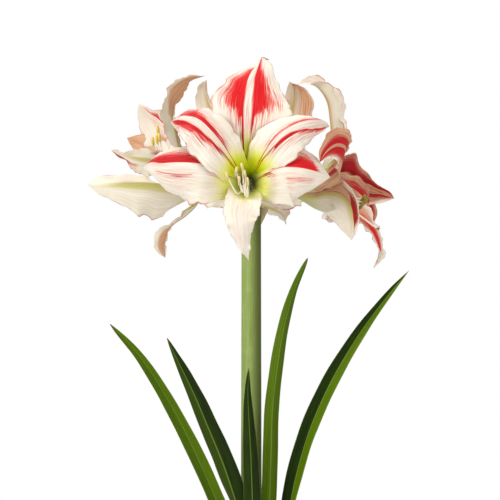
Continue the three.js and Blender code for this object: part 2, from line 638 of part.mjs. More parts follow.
function tepalGrid(flower, tepal) {
  const mouth = V(flower.mouth);
  const axis = V(flower.axis).normalize();
  const first = V(tepal.path[0]);
  const radial = first.clone().addScaledVector(axis, -first.dot(axis)).normalize();
  const ring = TEPAL_RING - (tepal.inner ? 1 : 0);
  const points = [radial.clone().multiplyScalar(ring), ...tepal.path.map(V)];
  const centres = curvePoints(points.map((p) => p.add(mouth)), TEPAL_STEPS);
  const { sides, faces } = carriedFrames(centres, radial.clone().cross(axis));
  const roll = tepal.roll ?? [0, 0];
  return centres.map((centre, i) => {
    const u = i / TEPAL_STEPS;
    const turn = radians(along(roll, u));
    const side = sides[i].clone().multiplyScalar(Math.cos(turn))
      .addScaledVector(faces[i], Math.sin(turn));
    const face = faces[i].clone().multiplyScalar(Math.cos(turn))
      .addScaledVector(sides[i], -Math.sin(turn));
    const row = [];
    for (let j = 0; j <= TEPAL_STRIPS; j += 1) {
      const v = (2 * j) / TEPAL_STRIPS - 1;
      const { across, out } = tepalSection(tepal, u, Math.abs(v), v < 0 ? 0 : 1);
      row.push(centre.clone().addScaledVector(side, Math.sign(v) * across)
        .addScaledVector(face, out));
    }
    return row;
  });
}

function makeTepals(flower) {
  const mouth = V(flower.mouth);
  const axis = V(flower.axis).normalize();
  const foot = mouth.clone().addScaledVector(axis, -TUBE_DEPTH);
  const lip = mouth.clone().addScaledVector(axis, TUBE_LIP);
  const across = new THREE.Vector3(0, 0, 1).cross(axis);
  let bloom = solidOf(tubeGeometry([foot, lip], () => TUBE_RADIUS, TUBE_SIDES, across));
  for (const tepal of flower.tepals) {
    const blade = bladeGeometry(tepalGrid(flower, tepal), () => TEPAL_THICKNESS);
    bloom = bloom.add(solidOf(blade));
  }
  return geometryOf(largestPiece(bloom));
}

// Stamens and style, on a small disc at the bottom of the throat

function stamenEnds(flower) {
  const axis = V(flower.axis).normalize();
  const across = new THREE.Vector3(0, 0, 1).cross(axis).normalize();
  const up = axis.clone().cross(across);
  const place = (side, rise, reach) => new THREE.Vector3()
    .addScaledVector(across, side).addScaledVector(up, rise).addScaledVector(axis, reach);
  const ends = flower.ends.map(([side, rise], k) => {
    const angle = (2 * Math.PI * k) / flower.ends.length + 0.3;
    const reach = flower.reach * (1 - 0.03 * (k % 3));
    return {
      root: place(2.6 * Math.cos(angle), 2.6 * Math.sin(angle), 0),
      low: place(side * 0.5, -flower.sag + 3 * Math.sin(angle), flower.reach * 0.6),
      end: place(side, rise, reach),
      anther: true,
    };
  });
  const [side, rise] = flower.style;
  ends.push({
    root: place(0, 0, 0),
    low: place(side * 0.5, -flower.sag - 2, flower.reach * 0.7),
    end: place(side, rise, flower.reach * 1.25),
    anther: false,
  });
  return { ends, axis, across, up };
}

function makeStamens(flower) {
  const { ends, axis, across, up } = stamenEnds(flower);
  const seat = V(flower.mouth).addScaledVector(axis, TUBE_LIP + GAP);
  const disc = [seat, seat.clone().addScaledVector(axis, STAMEN_SEAT_DEPTH)];
  let cluster = solidOf(tubeGeometry(disc, () => STAMEN_SEAT_RADIUS, STEM_SIDES, across));
  for (const { root, low, end, anther } of ends) {
    const path = [root.clone().addScaledVector(axis, 0.8), low.clone().lerp(root, 0.45)
      .addScaledVector(axis, 4), low, end].map((p) => p.add(seat));
    const thread = curvePoints(path, STAMEN_STEPS);
    const radiusAt = (u) => (anther ? FILAMENT_RADIUS * (1 - 0.15 * u) : STYLE_RADIUS);
    cluster = cluster.add(solidOf(tubeGeometry(thread, radiusAt, 3, across)));
    const tip = thread[thread.length - 1];
    if (anther) cluster = cluster.add(solidOf(makeAnther(tip, axis, up)));
    else cluster = cluster.add(solidOf(makeStigma(tip)));
  }
  return geometryOf(largestPiece(cluster));
}

function makeAnther(tip, axis, up) {
  const lengthwise = axis.clone().multiplyScalar(0.35).addScaledVector(up, 0.9).normalize();
  const centres = [-0.5, -0.25, 0.25, 0.5].map((f) => tip.clone()
    .addScaledVector(lengthwise, f * ANTHER_LENGTH));
  const radiusAt = (u) => ANTHER_RADIUS * (0.35 + 0.65 * Math.sin(Math.PI * u));
  return tubeGeometry(centres, radiusAt, 4, axis);
}

function makeStigma(tip) {
  const knob = new THREE.SphereGeometry(STIGMA_RADIUS, 6, 4);
  knob.translate(tip.x, tip.y, tip.z);
  return knob;
}

// Bracts

function makeBract(bract) {
  const top = V(STALK_TOP);
  const centres = curvePoints(bract.path.map((p) => V(p).add(top)), BRACT_STEPS);
  const outward = V(bract.path[0]).setZ(0).normalize();
  const firstSide = new THREE.Vector3(0, 0, 1).cross(outward);
  const { sides, faces } = carriedFrames(centres, firstSide);
  const grid = centres.map((centre, i) => {
    const u = i / BRACT_STEPS;
    const half = (bract.width / 2) * (0.55 + 0.9 * u) * Math.max(1 - u ** 2.4, 0.02);
    return [-1, -0.5, 0, 0.5, 1].map((v) => centre.clone()
      .addScaledVector(sides[i], v * half)
      .addScaledVector(faces[i], -0.3 * half * v * v));
  });
  return bladeGeometry(grid, () => BRACT_THICKNESS);
}

// The whole plant in its pot

function addPiece(group, name, geometry, color, roughness) {
  const material = new THREE.MeshStandardMaterial({ color, roughness, metalness: 0 });
  const mesh = new THREE.Mesh(geometry, material);
  mesh.name = name;
  group.add(mesh);
}

const plant = new THREE.Group();
const slots = [stalkSlot(), ...Object.values(LEAVES).map(leafSlot)];
addPiece(plant, "pot", makePot(), CLAY, 0.9);
addPiece(plant, "soil", makeSoil(), SOIL, 1);
addPiece(plant, "bulb", makeBulb(slots), BULB_SKIN, 0.7);
addPiece(plant, "stalk", makeStalk(), STALK_GREEN, 0.5);
for (const [name, leaf] of Object.entries(LEAVES)) {
  addPiece(plant, name, makeLeaf(leaf), LEAF_GREEN, 0.45);
}
for (const [name, bract] of Object.entries(BRACTS)) {
  addPiece(plant, name, makeBract(bract), BRACT_TAN, 0.8);
}
for (const [name, flower] of Object.entries(FLOWERS)) {
  addPiece(plant, `flower_${name}_tepals`, makeTepals(flower), PETAL_WHITE, 0.5);
  addPiece(plant, `flower_${name}_stamens`, makeStamens(flower), STAMEN_CREAM, 0.6);
}

export default plant;
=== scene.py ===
"""The looks of a potted amaryllis in bloom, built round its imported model.

Shapes are worked out in millimetres, in the model's own frame, and become metres when a
mesh is made. +Z is up, +X is right in the front view and -Y is towards the viewer.
"""

import math

import bpy
import numpy as np
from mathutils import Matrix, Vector


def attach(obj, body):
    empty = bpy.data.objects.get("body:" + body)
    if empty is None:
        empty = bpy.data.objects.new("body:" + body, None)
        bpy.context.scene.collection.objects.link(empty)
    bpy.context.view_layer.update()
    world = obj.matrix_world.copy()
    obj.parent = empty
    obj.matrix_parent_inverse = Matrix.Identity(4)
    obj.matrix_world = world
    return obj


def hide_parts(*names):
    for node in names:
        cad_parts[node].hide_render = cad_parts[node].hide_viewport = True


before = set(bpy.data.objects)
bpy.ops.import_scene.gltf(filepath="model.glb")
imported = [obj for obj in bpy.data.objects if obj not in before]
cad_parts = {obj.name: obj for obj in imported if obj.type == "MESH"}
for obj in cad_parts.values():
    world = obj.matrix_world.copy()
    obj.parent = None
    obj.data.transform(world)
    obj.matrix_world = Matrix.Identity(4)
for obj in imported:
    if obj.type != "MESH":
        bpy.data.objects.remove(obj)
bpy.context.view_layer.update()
SCENE = bpy.context.scene

# Sizes shared with the model
MM = 0.001
UP = (0, 0, 1)
POT_HEIGHT = 140
POT_FOOT_RADIUS = 57
POT_RIM_RADIUS = 84
POT_WALL = 6
POT_RIM_BAND = 24
DRAIN_RADIUS = 4
DRAIN_RING = 28
DRAIN_COUNT = 3
SOIL_LEVEL = 121
SOIL_RELIEF = 1.6
BULB_FOOT = 64
BULB_RADIUS = 49
BULB_BELLY = 110
NECK_RADIUS = 33
NECK_TOP = 172
STALK_RADIUS = 11.8
STALK_FOOT = np.array([-10.0, 13, 134])
STALK_TOP = np.array([-10.0, 0, 598])
PEDICEL_RADIUS = 4.6
OVARY_RADIUS = 7.2
TUBE_RADIUS = 8.4
TUBE_DEPTH = 9
TUBE_LIP = 3
TEPAL_RING = 7
GAP = 0.3

# The photograph's view: how far off the camera stands, where its middle falls and how much
# of the plant's own plane it takes in
VIEW_DISTANCE = 2000
VIEW_MIDDLE = (-11.5, 534.5)
VIEW_WIDTH = 575
SENSOR = 36

# How finely each form is drawn
TEPAL_STEPS, TEPAL_STRIPS = 72, 32
LEAF_STEPS, LEAF_STRIPS = 150, 20
BRACT_STEPS, BRACT_STRIPS = 60, 16
SKIN_ROWS, SKIN_COLUMNS = 40, 48
POT_SIDES, BULB_SIDES, SOIL_SIDES, SOIL_RINGS = 128, 144, 180, 26
STALK_RINGS, STALK_SIDES, PEDICEL_RINGS, PEDICEL_SIDES = 140, 48, 48, 36
FILAMENT_STEPS, STYLE_STEPS, THREAD_SIDES = 40, 48, 10

# Paths run from root to tip in millimetres: a leaf's from the model's origin, a tepal's from
# its flower's mouth and a bract's from the stalk's top. A leaf faces its "plan", twists by
# "turn" and folds up by "channel", in degrees. A tepal's "spread" scales its width, "cup"
# curves it across in radians, and "fold" tilts and "roll" twists it in degrees. A pair of
# lists gives its two halves apart. "widest", "rise" and "tip" shape its outline, "wave" and
# "freq" are the height and number of its waves, and "seed" draws how they fall. "sag" and
# "reach" are how far stamens hang and stand out, and "ends" and "style" are where they and
# the style end, across and up.
LEAVES = {
  "leaf_left_long": dict(width=20, plan=90, turn=[0, 75, 100, 95], channel=[28, 24, 20], taper=0.6,
    path=[[-29, -4, 146], [-31, -5, 175], [-38.5, -8, 218], [-52.5, -10, 253], [-69, -14, 292],
    [-88.5, -20, 334], [-111, -28, 376], [-138, -36, 417], [-169, -42, 451]]),
  "leaf_left_short": dict(width=28, plan=132, turn=[0, -8, -32, -38, -34], channel=[26, 24, 16], taper=0.75,
    path=[[-8.5, -12, 146], [-10.5, -14, 175], [-18, -16.5, 220], [-29, -18, 254], [-42.5, -20, 293],
    [-59.5, -22, 334], [-71, -24, 362], [-84.5, -24, 391], [-97, -22, 416], [-106, -18, 434]]),
  "leaf_front_short": dict(width=20, plan=180, turn=[0, -5, -10], channel=[16, 16, 12], taper=0.8,
    path=[[-7, -24, 146], [-7, -24, 175], [-8, -25, 220], [-9, -26, 255], [-11, -28, 308], [-13, -33, 345],
    [-14, -38, 375], [-13, -42, 402]]),
  "leaf_right_middle": dict(width=19, plan=-145, turn=[0, 25, 20, 5], channel=[24, 20, 14], taper=0.5,
    path=[[13, -8, 146], [12, -8, 175], [10, -8, 218], [11, -8, 252], [12.5, -7, 305], [14, -6, 350],
    [19, -4, 396], [26.5, 0, 442], [39, 2, 488], [55, 4, 525]]),
  "leaf_right_long": dict(width=25.5, plan=-90, turn=[0, -50, -65, -60], channel=[28, 24, 20], taper=0.8,
    path=[[23, 0, 146], [26, 0, 175], [32, 0, 212], [37.5, 0, 252], [46.5, -2, 291], [59.5, -6, 333],
    [83.5, -14, 388], [116.5, -24, 444], [149.5, -32, 489], [168, -34, 511]]),
}
FLOWERS = {
  "front": dict(
    mouth=[-14, -60, 608], axis=[0, -1, 0.08], sag=17, reach=76, ends=[[-22, -1], [-12, 5], [-9, -5],
      [-6, 9], [-3, 2], [0, -6]], style=[-4, -12],
    tepals=[
      dict(width=96, cup=[1, 0.25, -0.15, -0.3], fold=[6, 2, -4, 0], roll=[0, 0, -4, 0],
        spread=[[1, 1, 1, 0.98, 0.95, 0.9, 0.84, 0.68, 0.45, 0.12, 0.1], [1, 1, 1, 0.98, 0.86, 0.8]],
        seed=3, widest=0.6, rise=2, tip=1.15, path=[[-1, -20, 18], [-1, -40, 37], [0, -54, 63],
        [2, -58, 89], [6, -50, 112], [12, -38, 129], [16, -31, 138], [23, -26, 136]]),
      dict(inner=True, width=64, cup=[1, 0.3, -0.2, -0.3], fold=[[8, 4, -14, -18], [8, -10, -28, -24]],
        spread=[[1, 1, 0.95, 1], [1, 0.75, 0.8, 1.15]], seed=5, wave=2.5, path=[[-11, -28, 13],
        [-21, -58, 29], [-37, -72, 50], [-53, -76, 65], [-67, -67, 70], [-78, -50, 69], [-84, -34, 66]]),
      dict(inner=True, width=62, cup=[1, 0.3, -0.2, -0.3], fold=[[8, -20, -58, -60], [8, 4, -14, -18]],
        spread=[[1, 0.8, 0.8, 0.9], [1, 1, 0.95, 1]], seed=8, wave=2.5, path=[[9, -28, 14], [18, -56, 30],
        [34, -71, 50], [52, -75, 61], [70, -68, 66], [84, -52, 66], [89, -38, 62]]),
      dict(width=86, cup=[[1, 0.1, -0.9, -0.9], [1, 0.1, -0.3, -0.4]], fold=[[8, -10, -14, -10],
        [8, -14, -38, -30]], spread=[[1, 1.1, 1.15, 1.1], [1, 1, 0.85, 0.8, 0.8, 1]], seed=2, wave=1.2,
        widest=0.6, rise=1.7, path=[[-12, -24, 4], [-26, -50, 11], [-46, -66, 18], [-68, -70, 20],
        [-90, -62, 20], [-107, -48, 20], [-115, -34, 16]]),
      dict(width=84, cup=[[1, 0.1, -0.3, -0.4], [1, 0.1, -0.8, -0.8]], fold=[[8, -10, -28, -20],
        [8, -8, -10, -8]], spread=[[1, 0.9, 0.8, 1], [1, 1, 1.05, 1.25]], seed=4, wave=1.2, rise=1.7,
        path=[[11, -24, 4], [22, -48, 9], [39, -64, 14], [57, -67, 13], [74, -58, 10], [90, -42, 6]]),
      dict(inner=True, width=40, cup=[1, 0.4, -0.3, -0.4], fold=[8, 6, -16, -16], spread=[[1, 1, 1.1, 1.2],
        [1, 1, 1, 1]], seed=7, wave=3.5, freq=3.4, tip=1.3, widest=0.38, path=[[-3, -28, -12],
        [-5, -50, -21], [-8, -64, -36], [-7, -66, -52], [-4, -58, -69], [1, -44, -85]]),
    ],
  ),
  "left": dict(
    mouth=[-60, -6, 608], axis=[-0.93, -0.22, 0.3], sag=2, reach=72, ends=[[-5, 30], [-3, 42], [0, 36],
      [3, 44], [5, 32], [6, 35]], style=[2, 8],
    tepals=[
      dict(width=60, cup=[1.1, 0.6, 0.15, 0.1], roll=[0, 10, 26, 32, 32], spread=[[1, 1, 0.8, 0.8],
        [1, 0.7, 0.5, 0.6, 1.05, 1.1, 1.05, 1]], seed=13, widest=0.5, path=[[-20, -2, 16], [-32, 0, 38],
        [-38, 4, 63], [-41, 8, 85], [-36, 10, 104], [-28, 8, 115], [-18, 4, 122], [-4, -2, 126]]),
      dict(inner=True, width=60, cup=[1, 0.4, -0.2, -0.3], seed=15, path=[[-22, 14, 17], [-40, 34, 40],
        [-57, 50, 64], [-72, 58, 83], [-83, 54, 98]]),
      dict(width=60, cup=[1, 0.4, 0, -0.3], seed=12, spread=[[1, 0.8, 0.5, 0.5, 0.7], [1, 1, 0.9, 0.9]],
        path=[[-21, 16, 7], [-43, 38, 22], [-63, 56, 38], [-82, 66, 51], [-97, 66, 59]]),
      dict(width=80, cup=[[1, 0.3, 0, -0.2], [1, 0.5, 0.3, 0]], fold=[[8, 60, 108, 96, 86, 40],
        [8, 0, -10, -10]], spread=[[1, 1, 0.8, 0.9], [1.1, 1.3, 1.25, 1, 0.75, 0.8]], seed=14, wave=1.2,
        widest=0.5, path=[[-14, -28, -6], [-32, -46, -3], [-60, -54, 0], [-91, -54, 0], [-115, -48, -1],
        [-134, -38, 0]]),
      dict(inner=True, width=48, cup=[1, 0.4, 0, -0.2], fold=[8, 4, 0, 0], roll=[0, 15, 40, 60],
        spread=[[1, 0.8, 0.5, 0.6, 0.9], [1, 0.9, 0.6, 1, 1.2]], seed=18, path=[[-21, -26, 10],
        [-39, -50, 22], [-60, -62, 26], [-85, -62, 30], [-106, -52, 38]]),
      dict(inner=True, width=30, cup=[1, 0.5, 0.2, 0.3], roll=[0, 0, -5, -50, -50],
        spread=[1, 1, 0.8, 0.75, 0.7], seed=17, wave=2, widest=0.75, path=[[-8, 2, -12], [-13, -2, -22],
        [-26, -6, -35], [-39, -10, -44], [-48, -12, -55], [-52, -8, -69], [-49, -2, -82]]),
    ],
  ),
  "right": dict(
    mouth=[41, -6, 601], axis=[0.93, -0.25, -0.12], sag=6, reach=78, ends=[[-4, -2], [-1, 2], [2, -4],
      [5, 1], [-6, -6], [7, -5]], style=[-8, -30],
    tepals=[
      dict(width=56, cup=[1.1, 0.6, 0.3, 0.2], fold=[[8, 10, 25, 35, 30], [8, 10, 35, 50, 45]],
        roll=[0, -10, -10, -5, 0], spread=[[1, 1], [1, 1, 0.9, 0.75, 1, 0.55, 0.6]], seed=23, widest=0.5,
        path=[[21, 2, 16], [35, 6, 39], [41, 10, 64], [40, 12, 86], [36, 10, 106], [25, 6, 121],
        [12, 0, 125], [1, -8, 123]]),
      dict(inner=True, width=58, cup=[1, 0.4, -0.2, -0.3], seed=25,
        spread=[[1, 1.2, 1.3, 1.15, 0.5, 0.33, 0.7], [1, 1]], path=[[24, 16, 10], [47, 36, 19],
        [69, 50, 17], [92, 52, 6], [116, 42, -6]]),
      dict(width=60, cup=[1, 0.4, 0, -0.3], seed=22, path=[[24, 18, -2], [47, 36, -3], [65, 48, -10],
        [81, 52, -22], [91, 48, -39]]),
      dict(inner=True, width=52, cup=[1, 0.4, -0.3, -0.3], seed=28, spread=[[1, 1],
        [1, 1, 1.15, 0.6, 0.95, 1]], path=[[20, -20, 10], [37, -44, 22], [50, -60, 36], [52, -80, 46],
        [41, -96, 48], [30, -105, 40], [23, -104, 29]]),
      dict(width=70, cup=[[1, 0.5, -0.1, -0.6], [1, 0.3, -0.6, -1]], fold=[[8, 0, -8, -10],
        [8, -10, -30, -30]], roll=[0, 5, 20, 30, 30], spread=[[1, 1, 1, 1], [1, 0.85, 0.55, 0.55, 0.8]],
        seed=24, path=[[19, -18, -5], [35, -38, -1], [49, -52, -3], [59, -60, -14], [62, -60, -33],
        [61, -54, -55]]),
      dict(inner=True, width=36, cup=[1, 0.5, 0.2, 0.2], roll=[0, 0, 10, 18, 15], seed=27, spread=[[1, 1],
        [1, 1, 1, 0.8, 0.4]], widest=0.6, path=[[22, 0, -9], [44, -2, -16], [64, -2, -24], [82, 0, -37],
        [92, 2, -52], [96, 4, -69], [90, 8, -87]]),
    ],
  ),
  "back": dict(
    mouth=[-9, 58, 608], axis=[0, 1, 0.15], sag=8, reach=72, ends=[[-9, 2], [-5, 8], [0, -3], [4, 9],
      [8, 3], [3, -8]], style=[-3, -10],
    tepals=[
      dict(width=88, cup=[1, 0.35, -0.15, -0.3], seed=33, rise=1.8, path=[[0, 26, 20], [0, 50, 45],
        [0, 66, 75], [0, 68, 100], [0, 58, 115], [0, 40, 122]]),
      dict(inner=True, width=54, cup=[1, 0.3, -0.4, -0.5], fold=[8, 4, -14, -18], roll=[0, 10, 30, 40],
        spread=[[1, 1], [1, 0.9, 0.75, 0.6]], seed=35, path=[[-11, 26, 18], [-27, 54, 48], [-44, 70, 83],
        [-55, 72, 110], [-57, 62, 126], [-55, 46, 132]]),
      dict(inner=True, width=62, cup=[1, 0.3, -0.4, -0.5], fold=[8, 4, -14, -18], seed=38, tip=0.7,
        widest=0.62, path=[[12, 26, 18], [28, 54, 48], [44, 70, 83], [50, 72, 108], [50, 62, 124],
        [46, 46, 130]]),
      dict(width=76, cup=[1, 0.1, -0.5, -0.5], fold=[8, -6, -10, -10], seed=32, path=[[-12, 26, 6],
        [-29, 52, 11], [-54, 68, 17], [-78, 70, 17], [-97, 60, 12]]),
      dict(width=76, cup=[1, 0.1, -0.5, -0.5], fold=[8, -6, -10, -10], seed=34, path=[[12, 26, 6],
        [29, 52, 10], [51, 68, 15], [73, 70, 15], [92, 60, 12]]),
      dict(inner=True, width=42, cup=[1, 0.5, 0.3, 0.2], seed=37, path=[[1, 27, -10], [9, 50, -18],
        [23, 66, -23], [37, 68, -30], [41, 60, -42]]),
    ],
  ),
}
BRACTS = {
  "bract_left": dict(width=15, path=[[-11.2, 6.6, -13], [-15, 9, -12], [-19, 11, -20], [-19, 12, -34],
    [-15, 13, -50]]),
  "bract_right": dict(width=15, path=[[11.9, 7.1, -14.5], [14.5, 12.5, -16], [10.5, 19.5, -23],
    [3, 23, -38], [-3, 23, -62]]),
}

# How each tepal is marked, in the order of its flower's tepals. Lists run from the root to
# the tip, and a pair of lists gives the two halves apart. "band_in" and "band_out" are where
# the red band of a half begins and ends across it, "strength" how full it is, "dark" how
# deep its red, "ghost" how much of it shows on the back, "fade_and_shade" the brown-pink
# wash, partly the colour of a fading petal and partly painted shade on tepals that lie in
# shadow, "green" the green of the throat, "rim" the red of the margin and "dry" the share of
# the length where the tip has dried up.
NO_BAND = [0, 0]
LOOK = dict(band_in=[0.08, 0.08], band_out=[0.12, 0.15, 0.3, 0.5, 0.5, 0.4],
  strength=[0, 0.5, 0.8, 0.9, 0.7, 0], dark=0.3, ghost=0.15, fade_and_shade=[0, 0], green=1, rim=0.75, dry=2)
LOOKS = {
  "front": [
    dict(band_in=[[0.1, 0.1, 0.1, 0.1, 0.1, 0.12, 0.14, 0.18, 0.28, 0.36, 0.36],
      [0.05, 0.05, 0.06, 0.07, 0.08, 0.08, 0.08, 0.06, 0.03, 0, 0]],
      band_out=[[0.13, 0.13, 0.14, 0.16, 0.18, 0.24, 0.66, 0.86, 0.68, 0.3, 0.3],
      [0.09, 0.09, 0.1, 0.12, 0.14, 0.2, 0.6, 0.56, 0.45, 0.2, 0.1]],
      strength=[[0, 0, 0.6, 1, 1, 1, 1, 1, 0.7, 0, 0], [0, 0, 0.6, 1, 1, 1, 1, 1, 1, 0.6, 0]], dark=0.1,
      dry=0.93),
    dict(band_in=[[0.05, 0.05, 0.05, 0.05, 0.08, 0.14, 0.2, 0.22, 0.18, 0.1, 0.05], [0.08, 0.08]],
      band_out=[[0.1, 0.1, 0.1, 0.1, 0.15, 0.28, 0.42, 0.54, 0.56, 0.5, 0.3],
      [0.12, 0.12, 0.12, 0.13, 0.17, 0.24, 0.32, 0.5, 0.85, 0.9, 0.5]],
      strength=[[0, 0, 0.6, 1, 1, 1, 1, 1, 1, 0.9, 0.2], [0, 0, 0.6, 1, 1, 1, 1, 1, 1, 1, 0.3]], dark=0.3),
    dict(band_in=[[0.02, 0.02], [0.02, 0.02, 0.02, 0.02, 0.07, 0.14, 0.16, 0.26, 0.4, 0.52, 0.5]],
      band_out=[[0.1, 0.08, 0.08, 0.09, 0.12, 0.16, 0.2, 0.25, 0.22, 0.45, 0.4],
      [0.1, 0.08, 0.08, 0.08, 0.13, 0.24, 0.34, 0.44, 0.56, 0.78, 0.7]],
      strength=[[0, 0, 0.6, 1, 1, 0.9, 0.8, 0.85, 0.9, 0.9, 0.2],
      [0, 0, 0.6, 1, 1, 0.8, 0.85, 0.95, 1, 0.8, 0]], dark=0.3),
    dict(band_in=[[0, 0, 0, 0, 0, 0.1, 0.24, 0.24, 0.24, 0.24, 0.24],
      [0.02, 0.02, 0.02, 0.02, 0.02, 0.02, 0.02, 0.02, 0.02, 0.1, 0.2]],
      band_out=[[0.05, 0.05, 0.05, 0.06, 0.08, 0.1, 0.38, 0.38, 0.38, 0.38, 0.38],
      [0.06, 0.06, 0.06, 0.07, 0.1, 0.17, 0.46, 0.66, 0.68, 0.55, 0.3]],
      strength=[[0, 0, 0.6, 1, 1, 0, 0.38, 0.42, 0.3, 0, 0], [0, 0, 0.6, 1, 1, 1, 1, 1, 1, 0.9, 0]],
      dark=0.5, green=0.8),
    dict(band_in=[[0.02, 0.02], [0, 0, 0, 0, 0, 0.1, 0.2, 0.2, 0.2, 0.2, 0.2]],
      band_out=[[0.05, 0.05, 0.05, 0.06, 0.09, 0.14, 0.4, 0.66, 0.68, 0.3, 0.1],
      [0.04, 0.04, 0.04, 0.05, 0.06, 0.1, 0.36, 0.36, 0.36, 0.36, 0.36]],
      strength=[[0, 0, 0.6, 1, 1, 1, 1, 1, 0.9, 0.1, 0], [0, 0, 0.6, 1, 1, 0, 0.36, 0.4, 0.3, 0, 0]],
      dark=0.1, green=0.8),
    dict(band_in=[[0.2, 0.2], [0.12, 0.12]], band_out=[[0.4, 0.4], [0.42, 0.42]],
      strength=[[0, 0, 0, 0, 0.08, 0.1, 0.08, 0, 0], [0, 0, 0, 0.08, 0.17, 0.18, 0.16, 0.08, 0]], green=0.6,
      rim=0.7),
  ],
  "left": [
    dict(strength=NO_BAND, fade_and_shade=[[0, 0, 0, 0, 0, 0.1, 0.6, 1, 1, 1, 0.9],
      [0, 0, 0, 0, 0, 0, 0.4, 0.6, 0.62, 0.66, 0.7]]),
    dict(band_in=[0.46, 0.46], band_out=[0.66, 0.66], strength=[NO_BAND,
      [0, 0, 0, 0, 0, 0.3, 0.8, 1, 1, 0.5, 0]], dark=0.2),
    dict(strength=NO_BAND, fade_and_shade=[0, 0.3, 0.7, 0.95, 0.95, 0.9]),
    dict(strength=NO_BAND, ghost=0),
    dict(band_in=[[0.6, 0.6], [0.4, 0.4]], band_out=[[1.1, 1.1], [1.1, 1.1]],
      strength=[[0, 0, 0, 0, 0, 0.8, 0.6, 0, 0, 0, 0], [0, 0, 0, 0, 0, 0, 0, 0, 0.4, 1, 1]], ghost=1),
    dict(strength=NO_BAND, fade_and_shade=[0, 0.35, 0.3, 0.4, 0.5, 0.5]),
  ],
  "right": [
    dict(strength=[0, 0, 0.2, 0.25, 0.2, 0.1], rim=1, fade_and_shade=[0, 0.3, 0.3, 0.12]),
    dict(band_in=[[0.05, 0.05, 0.05, 0.1, 0.15, 0.2, 0.2, 0.15, 0.3, 0.5, 0.5],
      [0.3, 0.3, 0.3, 0.3, 0.3, 0.4, 0.48, 0.42, 0.28, 0.12, 0.1]],
      band_out=[[0.1, 0.1, 0.3, 0.6, 0.95, 0.95, 0.78, 0.8, 0.95, 1.1, 1],
      [0.4, 0.4, 0.4, 0.4, 0.4, 0.5, 0.66, 0.62, 0.5, 0.45, 0.4]],
      strength=[[0, 0, 0, 0.3, 0.9, 1.1, 1.3, 1.3, 1.3, 1.1, 0.6],
      [0, 0, 0, 0, 0.4, 0.8, 1.2, 1.2, 1.1, 0.9, 0.3]], dark=0.9, fade_and_shade=[[0, 0.3, 1.1, 1.1, 1, 0.6],
      [0, 0.3, 1, 1, 0.7, 0.4]]),
    dict(band_in=[[0.5, 0.5], [0, 0]], band_out=[[0.85, 0.85], [0.1, 0.2, 0.35, 0.35]],
      strength=[[0, 0, 0.7, 1, 0.6], [0, 0, 0.6, 1, 0.8]], dark=0.7, fade_and_shade=[[0, 0.5, 1.2, 1.2, 1],
      [0, 0.3, 0.8, 0.8, 0.5]]),
    dict(band_in=[0.08, 0.08], band_out=[[0.15, 0.3, 0.6, 0.66, 0.55], [0.15, 0.3, 0.55, 0.62, 0.66]],
      strength=[0, 0.6, 1.2, 1.2, 1.2, 1.1], dark=0.5, ghost=1, fade_and_shade=[[0, 0.9, 1.2, 0.6, 0.5],
      [0, 0.6, 1.1, 1.2, 0.8]]),
    dict(band_in=[[1.2, 1.2], [0.5, 0.5, 0.5, 0.5, 0.5, 0.5, 0.4, 0, 0.05, 0.2, 0.3]], band_out=[[1.3, 1.3],
      [0.5, 0.5, 0.5, 0.5, 0.5, 0.5, 0.55, 0.95, 1.1, 0.35, 0.3]], strength=[NO_BAND,
      [0, 0, 0, 0, 0, 0, 0.5, 1, 1, 0.7, 0]], dark=0.6, ghost=1, fade_and_shade=[NO_BAND,
      [0, 0.3, 0.6, 0.7, 0.7, 0.5, 0.2, 0, 0]]),
    dict(band_in=[0, 0], band_out=[0.3, 0.6, 0.6, 0.45], strength=[0, 0, 0.6, 0.85, 0.6], dark=0.2,
      fade_and_shade=[0, 0.5, 0.7, 0.4, 0.3], ghost=0.8),
  ],
  "back": [
    dict(),
    dict(fade_and_shade=[[0, 0.2, 0.6, 0.7, 0.7, 0.6], [0, 0, 0.1, 0.1]]),
    dict(fade_and_shade=[[0, 0.2, 0.6, 0.75, 0.8, 0.6], [0, 0, 0, 0]]),
    dict(),
    dict(),
    dict(fade_and_shade=[0, 0.1, 0.2, 0.2]),
  ],
}

# Painted light and shade: how light the two halves of each leaf are painted, the half at its first edge
# first
LEAF_HALF_SHADES = dict(leaf_left_long=(0.6, 0.8), leaf_left_short=(0, 0.24), leaf_front_short=(0, 0.05),
  leaf_right_middle=(0.7, 0.85), leaf_right_long=(0.05, 0.95))

# Torn layers of skin round the bulb: where each starts and how far it sweeps, in degrees,
# and its lowest and highest edge
SKIN_LAYERS = [
  (10, 150, 104, 166), (130, 170, 100, 158), (255, 140, 106, 170), (40, 120, 108, 150),
  (200, 110, 106, 152), (320, 100, 106, 146),
]


# Curves and surfaces

def unit(v):
  return v / np.maximum(np.linalg.norm(v, axis=-1, keepdims=True), 1e-12)


def draw(seed, index):
  """A repeatable draw in 0 to 1."""
  s = math.sin(seed * 12.9898 + index * 78.233) * 43758.5453
  return s - math.floor(s)


def along(stations, u, half=0):
  """Stations spread evenly over 0 to 1, eased between. A pair of lists gives two halves."""
  stations = np.asarray(stations[half] if isinstance(stations[0], list) else stations, float)
  x = np.clip(u, 0, 1) * (len(stations) - 1)
  i = np.minimum(np.floor(x).astype(int), len(stations) - 2)
  f = x - i
  f = f * f * (3 - 2 * f)
  return stations[i] * (1 - f) + stations[i + 1] * f


def ease(low, high, x):
  t = np.clip((x - low) / (high - low), 0, 1)
  return t * t * (3 - 2 * t)


def turn_angles(sides):
  return np.linspace(0, 2 * np.pi, sides, endpoint=False)


def stacked(*values):
  """Numbers for every point of a grid, side by side."""
  return np.stack(np.broadcast_arrays(*values), -1)


def polar(radius, angle, height):
  return stacked(radius * np.cos(angle), radius * np.sin(angle), height)


